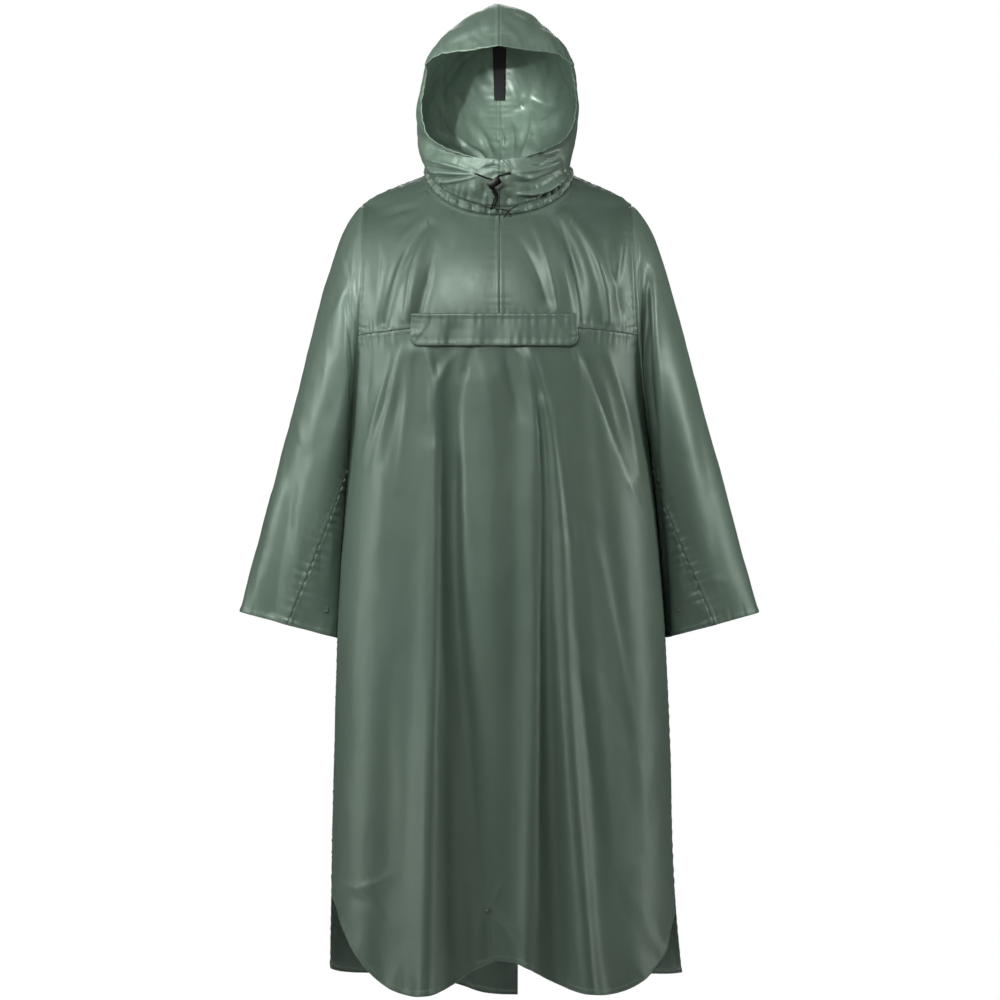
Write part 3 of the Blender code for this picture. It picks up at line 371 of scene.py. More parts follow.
def body_points(face, turn, z):
    """Points of the body: turn goes from -90 degrees at the left seam to 90 at the right one."""
    name = "front" if face == FRONT else "back"
    x = np.where(turn < 0, half_width(z, LEFT), half_width(z, RIGHT)) * np.sin(turn)
    rounded = shoulder_rounding(x, z, name)
    full = along(z, BODY["z"], BODY[name]) * rounded * flatness(np.abs(np.sin(turn)))
    depth = (full ** ARMHOLE_BLEND + armhole_depth(z) ** ARMHOLE_BLEND) ** (1 / ARMHOLE_BLEND)
    rows = FRONT_FOLDS + YOKE_FOLDS if face == FRONT else BACK_FOLDS
    depth = depth + fold_rise(x, z, rows) * np.cos(turn) * rounded
    return np.stack([x, face * depth, z + 0 * x], axis=-1)


def body_side_x(y, z, side):
    """How far out the body's side lies at a depth and height."""
    full = np.where(y < 0, along(z, BODY["z"], BODY["front"]), along(z, BODY["z"], BODY["back"]))
    beyond = np.maximum(np.abs(y) ** ARMHOLE_BLEND - armhole_depth(z) ** ARMHOLE_BLEND, 0)
    share = np.clip(beyond ** (1 / ARMHOLE_BLEND) / full, 0, 1)
    return half_width(z, side) * flatness(share)


def neck_z(x, face):
    """Height of the neck seam at a distance from the middle."""
    centre = NECK_FRONT_Z if face == FRONT else NECK_BACK_Z
    side = shoulder_z(np.where(x < 0, -NECK_HALF_WIDTH, NECK_HALF_WIDTH))
    share = np.clip(np.abs(x) / NECK_HALF_WIDTH, 0, 1)
    return centre + (side - centre) * (1 - np.sqrt(1 - share ** 2))


def column_top(face, turn, side):
    """Height at which a body column starts: the neck seam, then the shoulder line."""
    x = top_half_width(side) * sin(turn)
    on_neck = abs(x) < NECK_HALF_WIDTH - 1e-6
    return float(neck_z(x, face) if on_neck else shoulder_z(x))


def hem_z(panel, turn):
    """Height of a hem: a shirt-tail that falls from the side and arches in the middle."""
    hem = HEMS[panel]
    across = np.abs(np.sin(turn))
    fall = hem["fall"] * (1 - across ** hem["power"]) ** hem["root"]
    arch = hem["arch"] * np.exp(-(across / hem["arch_width"]) ** 2)
    return hem["side_z"] - fall + arch


def yoke_z(turn):
    return YOKE_SEAM_Z - YOKE_SEAM_DROP * np.sin(turn) ** 2


def hood_points(height, angle):
    """Points of the hood: height 0 at the neck to 1 at the peak, angle 0 on the seam to 180."""
    station = np.linspace(0, 1, len(HOOD_SECTIONS))
    row = {name: along(height, station, HOOD[name]) for name in HOOD_COLUMNS}
    power = 2 / row["round"]
    reach = np.clip(row["edge_x"] / row["width"], 0, 1) ** (1 / power)
    last = pi - np.arcsin(reach)
    side = np.sign(angle)
    turn = np.abs(angle) / pi * last
    x = row["width"] * np.abs(np.sin(turn)) ** power
    ahead = signed_power(np.cos(turn), power)
    ahead_last = signed_power(np.cos(last), power)
    share = (1 - ahead) / (1 - ahead_last)
    y = row["mid_y"] + (row["edge_y"] - row["mid_y"]) * share
    z = row["mid_z"] + (row["edge_z"] - row["mid_z"]) * share + row["bow_z"] * 4 * share * (1 - share)
    narrow = np.where(side < 0, 0, row["narrow"])
    return np.stack([side * x * (1 - narrow), y, z], axis=-1)


def sleeve_points(side, angle, down):
    """Points of a sleeve: angle 0 on the shoulder, 90 degrees in front, 180 in the armpit."""
    cuff = CUFFS[side]
    middle_z = (ARMHOLE_TOP_Z + ARMHOLE_LOW_Z) / 2
    top_z = middle_z + (ARMHOLE_TOP_Z - middle_z) * np.cos(angle)
    gap = ARMHOLE_GAP * (1 + np.clip(np.cos(angle), 0, 1))
    ahead = np.where(np.sin(angle) > 0, -1, 1)
    start = np.stack([half_width(top_z, side) + gap, ahead * armhole_depth(top_z), top_z], axis=-1)
    out = cuff["half_width"] * np.cos(angle)
    end = np.stack([cuff["x"] + out * cos(CUFF_TILT),
                    cuff["y"] - CUFF_DEPTH * signed_power(np.sin(angle), CUFF_FLATNESS),
                    CUFF_Z + out * sin(CUFF_TILT)], axis=-1)
    t = down[..., None]
    points = start * (1 - t) + end * t
    swell = SLEEVE_BULGE * (1 - down) * (1 - np.exp(-down / SLEEVE_BULGE_START))
    points[..., 0] += swell * np.clip(np.cos(angle), 0, 1)
    points[..., 1] -= swell * 0.5 * np.sin(angle)
    trough = np.exp(-((down - TROUGH_DOWN) / TROUGH_WIDTH) ** 2)
    points[..., 1] += cuff["trough"] * trough * np.clip(np.cos(angle - TROUGH_ANGLE), 0, 1) ** 3
    clear = ARMHOLE_GAP + SLEEVE_CLEAR * np.clip(down / CLEAR_SHARE, 0, 1)
    nearest = body_side_x(points[..., 1], points[..., 2], side) + clear
    points[..., 0] = side * np.maximum(points[..., 0], np.where(down > 0, nearest, 0))
    return points


def gusset_angle(down):
    """Half the angle that the under-sleeve piece takes of the sleeve."""
    return GUSSET_TOP_ANGLE + (GUSSET_CUFF_ANGLE - GUSSET_TOP_ANGLE) * down ** 0.8


def tuck_under(points):
    """Below the vent's top, draw the left back panel's edge on under the right one."""
    x, z = points[..., 0], points[..., 2]
    near = np.clip(1 + x / VENT_REACH, 0, 1)
    inward = np.clip((VENT_TOP_Z - z) / VENT_EASE, 0, 1) * near
    across = np.clip((VENT_TOP_Z - VENT_EASE - z) / VENT_EASE, 0, 1) * near ** 3
    points[..., 1] -= VENT_INWARD * inward
    points[..., 0] += VENT_UNDERLAP * across


def front_turn(x, z):
    """Turn of the front at a distance from the middle."""
    return asin(x / float(half_width(np.array(z), LEFT if x < 0 else RIGHT)))


# ---------------------------------------------------------------- numbers for the finish
SHELL = 0.0009               # thickness of the cloth shells
STEP = 0.0042                # pitch of the big panels' grids
BACK_STEP = 0.0052           # and of the back's
FINE_STEP = 0.0025           # pitch of the hood's grids
HOOD_PACE = 1.3              # over 1 the hood's rows are closer near the chin
EDGE_LINES = (0.0012, 0.0026, 0.0044, 0.0062, 0.0078, 0.0092, 0.0110)
NECK_CORNER_LINES = (-0.0104, -0.0062, -0.0029, -0.0009, 0.0, 0.0016)
HEM_BAND = 0.0080            # height of the turned hems
HEM_STITCH = HEM_BAND - 0.0012
SEAM_STITCH = 0.0058         # distance of a seam's stitch row from its join
SEAM_LAP = 0.0006            # how far a felled seam's allowance stands up
STITCH, STITCH_GAP = 0.0022, 0.0010
FAR_OFF = 1.0                # a distance that no hem or seam reaches
RIPPLE_WAVES, CRUMPLE_WAVES = 5, 9

# About how long and wide the panels are, which sets how many rows and columns their grids have.
HALF_BODY_WIDE = 0.34
YOKE_LONG, FRONT_LONG, BACK_LONG = 0.24, 0.98, 1.3
YOKE_CURVE = 0.12            # how far down the yoke's rows follow the shoulder's curve
YOKE_BEND, BACK_BEND = 0.72, 0.16    # and the share of the rows that do
SLEEVE_LONG, SLEEVE_WIDE, GUSSET_WIDE = 0.63, 0.34, 0.19
SLEEVE_BEHIND = (0.012, 0.020, 0.7)    # shift and share of the creases behind a sleeve
SLEEVE_PULL = (0.0036, 0.0020, 0.0008)    # how far a sleeve's first rows reach in at the armhole
HOOD_LONG, HOOD_WIDE = 0.42, 0.36
HOOD_MIDDLE = (0, 0, 0.12)
CROWN_Z, CROWN_OVER = 0.10, 0.05    # where the chin's creases end, and over what height
TAPE_STRIP, TAPE_FLAT = 0.016, 0.85    # the strip behind the tape, and how much flatter it lies
CASING_TURNS, CASING_ROWS = 620, 15
RUFFLE_DEPTH = 2 * GATHER_DEPTH
FLAP_STEPS = (0.0022, 0.0018)    # pitch across and down

# Creases, in the same columns and two more: skew makes one side the steeper one, and power 2 is
# round, less is sharper.
FRONT_CREASES = (
    (91, -116, 101, -150, 110, -197, 3.7, 4.5, 0, 2.4, 0, 0.2, 1.4),
    (-104, -59, -143, -106, -172, -210, 4.5, 7.5, -3, -6.5, -5, 0, 1.6),
    (-92, -61, -124, -110, -139, -200, 4.5, 6.7, 0, 6, 4.5, 0.4, 1.5),
    (-92, -87, -107, -143, -122, -206, 6, 7.5, 0, -5.5, -4.5, 0, 1.6),
    (-119, -116, -143, -148, -154, -191, 4.5, 4.5, 0, 1.8, 0, 0, 1.5),
    (-122, -44, -142, -61, -152, -80, 6, 6, -1, -2.5, -0.5, 0, 1.5),
    (-118, -39, -146, -46, -172, -56, 6, 6, 0, 2.5, 0, 0, 1.5),
    (-119, -32, -155, -41, -191, -50, 6, 6, 0, -2.2, 0, 0, 1.5),
    (-119, -24, -152, -30, -187, -37, 6, 6, 0, 2, 0, 0, 1.5),
    (-182, -76, -182, -116, -185, -173, 6, 6, -0.5, -3.5, -1, 0, 1.5),
    (22, -76, 49, -116, 71, -173, 6, 7.5, -0.5, -4.5, -3, 0, 1.5),
    (47, -56, 68, -106, 85, -191, 4.5, 4.5, 1, 5, 3.5, 0.4, 1.4),
    (82, -44, 112, -116, 125, -206, 7.5, 10.5, -3, -9, -8, -0.3, 1.7),
    (100, -41, 145, -116, 163, -206, 6, 7.5, 2, 6.5, 5, 0.3, 1.5),
    (157, -91, 169, -135, 181, -191, 6, 6, -1, -4, -2.5, 0, 1.5),
    (190, -35, 181, -95, 170, -161, 10.5, 7.5, 3, 9, 2, -0.2, 1.8),
    (56, -44, 65, -59, 74, -73, 2.7, 2.7, -0.6, -1.6, -0.3, 0, 1.4),
    (68, -41, 74, -51, 79, -61, 2.4, 2.4, -0.6, -1.4, -0.3, 0, 1.4),
    (-67, -71, -77, -90, -89, -110, 6, 7.5, -0.3, -1.4, -0.3, 0, 1.6),
    # under the flap
    (-38, -247, -17, -323, -5, -427, 12, 15, 1, 3, 0, 0.2, 1.7),
    (-110, -251, -94, -317, -88, -398, 7.5, 9, 0, 2.5, 0, 0.1, 1.6),
    (-208, -236, -211, -323, -214, -430, 4.5, 6, 1, 2.5, 1, 0, 1.5),
    (-194, -247, -197, -300, -200, -352, 7.5, 7.5, -1, -3, -0.5, 0, 1.5),
    (-161, -255, -181, -330, -206, -413, 5.3, 6, 1, 3.8, 1.5, 0.2, 1.4),
    (-146, -247, -160, -304, -191, -427, 4.5, 6, 1, 3.2, 1, 0.2, 1.4),
    (-164, -289, -170, -320, -182, -367, 4.5, 4.5, -1, -3, -0.5, 0, 1.5),
    (-134, -255, -140, -345, -154, -458, 5.3, 7.5, 1, 3.2, 1, 0.2, 1.4),
    (-146, -270, -157, -338, -172, -413, 7.5, 10.5, -1.5, -4.5, -1.5, 0, 1.5),
    (-113, -251, -98, -367, -101, -652, 9, 7.5, 2, 4, 0, 0, 1.6),
    (-67, -255, -89, -289, -101, -341, 6, 6, 1, 3, 1, 0, 1.5),
    (-97, -247, -94, -266, -91, -287, 6, 6, -1, -3, -1, 0, 1.5),
    (-41, -244, -52, -284, -62, -341, 6, 7.5, -2, -4.5, 0, -0.2, 1.5),
    (-61, -301, -65, -443, -67, -682, 9, 13.5, 0, -7, 0, -0.3, 1.7),
    (8, -251, 17, -289, 31, -345, 9, 9, -1.5, -3, -1, 0, 1.6),
    (29, -251, 53, -367, 61, -682, 4.5, 7.5, 2, 3.6, 0, 0.2, 1.4),
    (41, -285, 67, -398, 79, -652, 6, 10.5, 0, -3.6, 0, -0.2, 1.5),
    (41, -247, 74, -367, 103, -652, 4.2, 7.5, 2, 4.8, 0, 0.3, 1.4),
    (80, -357, 98, -458, 121, -652, 7.5, 9, 0, -2.5, 0, 0, 1.6),
    (113, -247, 116, -266, 121, -292, 4.5, 4.5, 2, 3, 0.5, 0, 1.5),
    (128, -263, 157, -335, 193, -440, 4.5, 5.3, -2, -3.8, -1, -0.2, 1.5),
    (157, -298, 169, -352, 184, -413, 3.7, 3.7, 0.5, 1.5, 0.5, 0, 1.5),
    (161, -255, 187, -335, 208, -436, 7.5, 7.5, 2, 4.8, 2, 0, 1.7),
    (173, -393, 199, -458, 226, -496, 4.5, 6, 0.5, 1.6, 0.5, 0, 1.5),
    (106, -338, 116, -443, 136, -562, 6, 7.5, 0, -2, 0, 0, 1.6),
    # the skirt, its hem and the tug of the hem's press stud
    (-89, -427, -103, -825, -112, -1240, 7.5, 10.5, 0, 4.6, 5, 0.3, 1.6),
    (-77, -383, -55, -795, -11, -1208, 13.5, 39, 0, -15, -10, 0.6, 2.1),
    (-172, -623, -167, -848, -172, -1042, 12, 13.5, 0, -2.2, 0, 0, 1.8),
    (58, -443, 50, -833, 41, -1208, 7.5, 10.5, 0, 4, 4, 0.2, 1.8),
    (68, -473, 74, -840, 97, -1230, 9, 13.5, 0, -1.5, -2.5, 0.1, 1.8),
    (88, -413, 104, -833, 139, -1234, 7.5, 10.5, 0, 7, 7, 0.3, 1.8),
    (121, -652, 139, -878, 169, -1117, 7.5, 12, 0, -3.2, 0, 0, 1.7),
    (109, -517, 139, -758, 178, -1042, 7.5, 10.5, 0, 2.6, 0, 0.2, 1.5),
    (128, -473, 175, -682, 220, -953, 9, 12, 0, 2.4, 0, -0.3, 1.6),
    (-250, -1042, -206, -1052, -164, -1032, 4.5, 6, 2, 4.2, 1, -0.4, 1.3),
    (-239, -1068, -200, -1073, -167, -1091, 7.5, 7.5, -0.5, -2.6, -0.5, 0, 1.6),
    (-215, -1060, -191, -1073, -155, -1125, 4.5, 6, 0.5, 1.8, 0.5, 0, 1.4),
    (-17, -1088, -19, -1125, -22, -1165, 6, 7.5, -1.5, -3.6, -1.5, -0.2, 1.5),
    (-10, -1085, 14, -1111, 32, -1143, 3.7, 5.3, 1.2, 3, 1.6, 0.3, 1.3),
    (-1, -1110, 8, -1133, 10, -1157, 6, 7.5, 0.5, 2.2, 0.5, 0, 1.6),
    (-28, -1088, -38, -1129, -49, -1170, 4.5, 7.5, 1, 2.4, 0.8, 0, 1.4),
    (-14, -1077, -5, -1062, 10, -1035, 4.5, 6, 1, 1.8, 0.3, 0, 1.4),
    (-32, -1077, -47, -1062, -67, -1050, 4.5, 6, -0.4, -1.4, -0.2, 0, 1.4),
)
BACK_CREASES = (
    (-60, -30, -104, -120, -150, -260, 8, 12, 1, 3.4, 1, 0.2, 1.5),
    (-100, -40, -140, -120, -176, -230, 7, 10, -1, -3, -1, 0, 1.5),
    (-30, -60, -40, -180, -70, -330, 8, 12, 0.6, 2.4, 1, 0, 1.5),
    (64, -30, 98, -130, 146, -280, 8, 12, 1, 3.4, 1, -0.2, 1.5),
    (104, -50, 150, -130, 180, -250, 7, 10, -1, -2.8, -1, 0, 1.5),
    (28, -80, 36, -200, 60, -360, 8, 12, -0.6, -2.2, -1, 0, 1.5),
    (-184, -330, -170, -520, -160, -800, 8, 12, 1, 3.6, 1, 0.3, 1.4),
    (-120, -360, -126, -620, -132, -980, 7, 12, -1, -3.4, -2, -0.3, 1.4),
    (-80, -300, -78, -620, -82, -1120, 6, 10, 1, 3, 3, 0.3, 1.5),
    (-26, -400, -28, -700, -30, -1180, 8, 12, -0.6, -2.4, -2.4, 0, 1.5),
    (24, -380, 26, -720, 30, -1160, 8, 12, -0.6, -2.6, -2, 0, 1.5),
    (80, -320, 84, -640, 92, -1140, 6, 10, 1, 3.2, 3, -0.3, 1.5),
    (128, -360, 134, -600, 140, -1000, 7, 12, -1, -3.2, -2, 0.3, 1.4),
    (186, -330, 176, -560, 172, -860, 8, 12, 1, 3.4, 1, -0.3, 1.4),
    (-205, -440, -196, -760, -200, -1140, 10, 14, 1, 4, 3, 0, 1.6),
    (208, -450, 202, -780, 208, -1130, 10, 14, 1, 4, 3, 0, 1.6),
)
SLEEVE_CREASES = (
    (-241, -101, -235, -116, -230, -134, 3.7, 4.5, 1, 3, 0.6, 0, 1.4),
    (-221, -110, -227, -121, -221, -140, 6, 6, -1, -3, -0.6, 0, 1.5),
    (-212, -141, -239, -173, -290, -287, 7.5, 10.5, 1, 4.2, 1.5, 0.5, 1.5),
    (-236, -281, -254, -341, -278, -401, 12, 12, -1, -4, -1, 0, 1.7),
    (-232, -380, -236, -384, -242, -383, 3, 3, -0.5, -2, -0.5, 0, 1.4),
    (-304, -338, -302, -364, -295, -395, 6, 6, 0.5, 2.4, 0.5, 0.3, 1.4),
    (-287, -401, -314, -473, -341, -640, 13.5, 12, -1.5, -5.5, -4, 0, 1.8),
    (-323, -427, -341, -487, -371, -623, 7.5, 7.5, 1, 3.2, 1.5, 0.3, 1.5),
    (-290, -473, -304, -555, -314, -640, 9, 9, 0.5, 3, 2, 0, 1.6),
    (-256, -503, -254, -544, -260, -596, 4.5, 6, 0.6, 2.2, 0.6, 0, 1.4),
    (-272, -532, -269, -562, -275, -608, 4.5, 4.5, -0.4, -1.6, -0.4, 0, 1.4),
    (-263, -642, -260, -652, -259, -664, 2.4, 3, -0.6, -1.4, -0.3, 0, 1.3),
    (214, -124, 227, -323, 253, -682, 8.3, 7.5, -5, -15, -9, 0, 4.0),
    (218, -116, 226, -124, 233, -134, 4.5, 4.5, 0.5, 2.5, 0.5, 0, 1.4),
    (229, -143, 241, -323, 265, -652, 6, 7.5, 2, 3, 1, -0.2, 1.5),
    (253, -217, 283, -398, 301, -562, 18, 21, 0.5, 3, 1, 0, 1.8),
    (277, -217, 307, -398, 334, -608, 12, 15, -0.5, -2.6, -1, 0, 1.7),
    (310, -600, 325, -593, 343, -597, 6, 6, 0.5, 2.4, 0.5, 0, 1.5),
    (286, -623, 301, -632, 313, -649, 7.5, 7.5, 0.5, 2.4, 0.8, 0, 1.5),
    (260, -503, 271, -547, 274, -608, 4.5, 6, 0.5, 2, 0.5, 0, 1.4),
    (269, -642, 271, -652, 271, -661, 2.4, 3, -0.6, -1.2, -0.3, 0, 1.3),
)
# Creases of the hood outside: over the brow and crown, then round the chin.
CROWN_CREASES = (
    (-84, 208, -50, 226, -11, 242, 5, 7, 1, 2.6, 0.6, 0.4, 1.3),
    (-83, 190, -84, 200, -80, 214, 3, 5, 2, 3.4, 0.6, 0, 1.3),
    (6, 236, 12, 231, 26, 228, 3, 5, 1, 1.6, 0.4, 0, 1.4),
    (10, 216, 50, 220, 88, 206, 10, 14, 0.6, 2.6, 0.6, 0, 1.6),
    (-100, 150, -94, 196, -66, 232, 6, 8, 0.6, 2.2, 0.6, 0, 1.5),
)
CHIN_CREASES = (
    (-110, 40, -78, 30, -42, 19, 2.6, 1.9, 2, 6.7, 3.9, 0.3, 1.3),
    (-112, 22, -78, 18, -40, 15, 2.6, 1.9, 2, 6.7, 3.9, 0.3, 1.3),
    (-100, 6, -70, 6, -38, 12, 3.2, 1.9, 2, 6.3, 2.7, 0.3, 1.3),
    (-112, 30, -80, 24, -46, 17, 1.9, 1.9, -2, -5.4, -2, 0, 1.3),
    (-106, 12, -76, 12, -42, 13, 1.9, 1.9, -2, -5.4, -2, 0, 1.3),
    (-50, 34, -44, 26, -36, 21, 1.9, 1.3, 1.6, 4.5, 2, 0, 1.3),
    (-30, 21, -14, 28, -2, 26, 2.6, 3.2, -2, -5.8, -2.7, 0, 1.5),
    (-12, 24, 0, 21, 12, 20, 1.9, 1.9, 2, 3.2, 1.2, 0, 1.4),
    (-2, 34, 6, 27, 14, 21, 1, 1, 1.6, 3.6, 2, 0, 1.3),
    (5, 35, 10, 29, 16, 22, 1, 1, 1.6, 3.6, 2, 0, 1.3),
    (10, 36, 15, 30, 18, 23, 1, 1, 1.2, 3.2, 1.6, 0, 1.3),
    (22, 16, 32, 12, 46, 10, 3.2, 4.5, 2, 5.8, 1.2, 0.3, 1.4),
    (22, 20, 50, 22, 90, 36, 1.9, 3.8, 2, 5.8, 2, -0.3, 1.4),
    (24, 6, 52, 6, 86, 22, 2.6, 3.8, -1.2, -5.4, -2.7, 0, 1.4),
    (46, 34, 58, 32, 66, 36, 1.9, 2.6, 1.2, 4, 1.2, 0, 1.4),
    (60, 44, 74, 40, 86, 48, 1.9, 2.6, 1.2, 3.6, 1.2, 0, 1.4),
    # the tuck over the neck seam on the right, then the neck's left and middle
    (30, -12, 62, -6, 100, 20, 2.6, 5.1, 3.9, 13.5, 13.7, -0.6, 1.4),
    (32, -17, 62, -12, 100, 12, 1.7, 2.6, -3.9, -15.8, -15.6, 0, 1.5),
    (-108, 4, -100, -4, -88, -10, 1.9, 2.6, -2, -11.2, -3.9, 0, 1.4),
    (-40, 4, -36, -8, -26, -20, 3.8, 4.5, 1.2, 4.9, 1.2, 0, 1.5),
    (-24, 4, -22, -8, -18, -18, 3.2, 3.2, -0.8, -3.6, -1.2, 0, 1.5),
    (8, -14, 14, -20, 14, -28, 3.2, 3.2, -1.2, -5.4, -1.6, 0, 1.5),
)
# Crinkles on the back of the hood, which show through its opening.
NAPE_CREASES = (
    (24, 122, 34, 126, 30, 134, 3, 3, -1.5, -5.4, -1.5, 0, 1.3),
    (52, 112, 46, 80, 30, 40, 5.3, 7.5, -3, -9.6, -3, 0.4, 1.4),
    (62, 80, 68, 60, 74, 44, 5.3, 6, -1.5, -7.4, -1.5, 0.3, 1.4),
    (-60, 76, -36, 56, -14, 34, 4.5, 6, -3, -9.6, -3, 0.4, 1.3),
    (-70, 58, -52, 46, -30, 32, 3.7, 4.5, -3, -8, -1.5, 0.3, 1.3),
    (-30, 90, -18, 66, -6, 40, 3.7, 5.3, -1.5, -6.4, -1.5, 0.3, 1.4),
    (2, 90, 6, 76, 4, 62, 1.5, 2.3, -1.2, -3.8, -1.2, 0, 1.2),
    (-4, 86, 0, 74, 8, 64, 1.5, 2.3, 0.9, 3.2, 1.2, 0, 1.2),
    (18, 100, 22, 66, 16, 34, 3.7, 5.3, -1.5, -6.4, -1.5, -0.3, 1.4),
    (-96, 150, -70, 150, -40, 160, 9, 12, 1.5, 4.8, 1.5, 0, 1.6),
    (40, 140, 70, 130, 96, 120, 7.5, 10.5, 1.5, 4.8, 1.5, 0, 1.6),
)


# ---------------------------------------------------------------- shaping the cloth
def spaced(length, step):
    """Shares of a length at an even pitch, with closer lines at both ends."""
    count = max(int(round(length / step)), 4)
    near = np.array(EDGE_LINES) / length
    shares = np.sort(np.concatenate([np.linspace(0, 1, count + 1), near, 1 - near]))
    shares = shares[(shares >= 0) & (shares <= 1)]
    keep = np.concatenate([[True], np.diff(shares) > 0.0005 / length])
    shares = shares[keep]
    shares[0], shares[-1] = 0, 1
    return shares


def ripple(place, wave, seed):
    """Smooth uneven waves along a length."""
    random = np.random.default_rng(seed)
    total = np.zeros(np.shape(place))
    for _ in range(RIPPLE_WAVES):
        length = wave * random.uniform(0.62, 1.7)
        total = total + np.sin(2 * pi * place / length + random.uniform(0, 2 * pi))
    return total / sqrt(RIPPLE_WAVES)


def crumple(points, size, seed, down=1.0):
    """Uneven facets of thin stiff cloth, about -1 to 1, drawn out down the cloth; they cross seams."""
    random = np.random.default_rng(seed)
    place = points / (size * np.array((1, 1, down)))
    warp = [np.sin(place @ random.normal(0, 1.1, 3) + random.uniform(0, 6.28)) for _ in range(3)]
    place = place + 0.9 * np.stack(warp, axis=-1)
    total = np.zeros(points.shape[:-1])
    for _ in range(CRUMPLE_WAVES):
        way = random.normal(0, 1, 3)
        way = way / np.linalg.norm(way) * random.uniform(1.2, 3.6)
        wave = (place @ way + random.uniform(0, 6.28)) / pi
        total += (np.abs((wave % 2) - 1) * 2 - 1) / np.linalg.norm(way)
    return total / sqrt(CRUMPLE_WAVES) * 1.6


def edge_distance(points, edge):
    """Distance from each point to an edge's line, and how far along the edge the nearest place is."""
    flat = points.reshape(-1, 3)
    batch = 4000
    lengths = np.concatenate([[0], np.cumsum(np.linalg.norm(np.diff(edge, axis=0), axis=1))])
    away, place = np.empty(len(flat)), np.empty(len(flat))
    start, ahead = edge[:-1], np.diff(edge, axis=0)
    size = np.maximum((ahead ** 2).sum(1), 1e-12)
    for first in range(0, len(flat), batch):
        some = flat[first:first + batch, None, :]
        share = np.clip(((some - start) * ahead).sum(-1) / size, 0, 1)
        gap = ((some - start - share[..., None] * ahead) ** 2).sum(-1)
        best = gap.argmin(1)
        pick = np.arange(len(best))
        away[first:first + batch] = np.sqrt(gap[pick, best])
        place[first:first + batch] = lengths[best] + share[pick, best] * np.sqrt(size[best])
    shape = points.shape[:-1]
    return away.reshape(shape), place.reshape(shape)


def bump(distance, width):
    return np.exp(-(distance / width) ** 2)


def step_down(distance, at, width):
    """1 nearer than a distance, 0 beyond it, with a soft edge."""
    return 0.5 - 0.5 * np.tanh((distance - at) / width * 2)


def hem_relief(distance, place, seed):
    """A turned hem: two more layers up to its stitches, which pull it in."""
    band = 0.0007 * step_down(distance, HEM_BAND, 0.0012) - 0.0005 * bump(distance, 0.0007)
    groove = -0.0005 * bump(distance - HEM_STITCH, 0.0012)
    pucker = 0.00045 * ripple(place, 0.011, seed) * bump(distance - 0.005, 0.012)
    sway = 0.0012 * ripple(place, 0.060, seed + 1) * bump(distance, 0.035)
    return band + groove + pucker + sway


def seam_relief(distance, place, seed, pull=1.0, lap=SEAM_LAP):
    """A felled seam: dips at the join, stands up over its allowance, puckers beside its stitches."""
    dip = -0.0008 * bump(distance, 0.0012)
    allowance = lap * step_down(distance, 0.0068, 0.0014)
    groove = -0.0004 * bump(distance - SEAM_STITCH, 0.0012)
    pucker = 0.0006 * pull * ripple(place, 0.012, seed) * bump(distance - 0.006, 0.014)
    return dip + allowance + groove + pucker


# ---------------------------------------------------------------- fine grids
def body_turns(side, step, corner_lines=(0.0,)):
    """Turns of a half body from the middle to the side, finer at both ends and at the neck's corner."""
    turns = side * spaced(HALF_BODY_WIDE, step) * pi / 2
    corner = side * np.arcsin((NECK_HALF_WIDTH + np.array(corner_lines)) / top_half_width(side))
    apart = np.abs(turns[:, None] - corner).min(axis=1)
    apart[[0, -1]] = 1
    return np.sort(np.append(turns[apart > 0.3 * step / HALF_BODY_WIDE * pi / 2], corner))


def column_grid(face, turns, heights):
    return body_points(face, np.broadcast_to(turns, heights.shape), heights)


def tops(face, turns):
    return np.array([column_top(face, turn, RIGHT if turn > 0 else LEFT) for turn in turns])


def curve_and_fall(top, low, curve, shares, bend):
    """Heights down a column: over the shoulder's curve for a first share of rows, then straight."""
    share = shares[:, None]
    over = top - curve * (1 - np.cos(np.clip(share / bend, 0, 1) * pi / 2))
    edge = top - curve
    slope = curve * pi / 2 / bend
    past = np.clip(share - bend, 0, 1) / (1 - bend)
    straight = edge - low
    bend_in = np.clip(slope * (1 - bend) / straight, 0, 1.5)
    fall = straight * (past * bend_in + past ** 2 * (1 - bend_in))
    return over - np.where(share > bend, fall, 0)


def meet_at_shoulder(points):
    """Draws the first row, past the neck, up to the shoulder line, where front and back are sewn."""
    past = np.abs(points[0, :, 0]) > NECK_HALF_WIDTH - SEAM
    points[0, past, 1] = np.sign(points[1, past, 1]) * SEAM
    return points


def fine_yoke(side):
    turns = body_turns(side, STEP, NECK_CORNER_LINES)
    shares = spaced(YOKE_LONG, STEP)
    heights = curve_and_fall(tops(FRONT, turns), yoke_z(turns), YOKE_CURVE, shares, YOKE_BEND)
    return meet_at_shoulder(column_grid(FRONT, turns, heights))


def fine_front():
    turns = np.concatenate([body_turns(LEFT, STEP)[:-1], body_turns(RIGHT, STEP)])
    top = yoke_z(turns)
    low = np.where(turns < 0, hem_z("front_left", turns), hem_z("front_right", turns))
    shares = spaced(FRONT_LONG, STEP)[:, None]
    return column_grid(FRONT, turns, top + (low - top) * shares)


def fine_back(side):
    turns = body_turns(side, BACK_STEP, NECK_CORNER_LINES)
    low = hem_z("back_" + NAMES[side], turns)
    shares = spaced(BACK_LONG, BACK_STEP)
    heights = curve_and_fall(tops(BACK, turns), low, SHOULDER_ROUND["back"], shares, BACK_BEND)
    points = column_grid(BACK, turns, heights)
    if side == LEFT:
        tuck_under(points)
    return meet_at_shoulder(points)


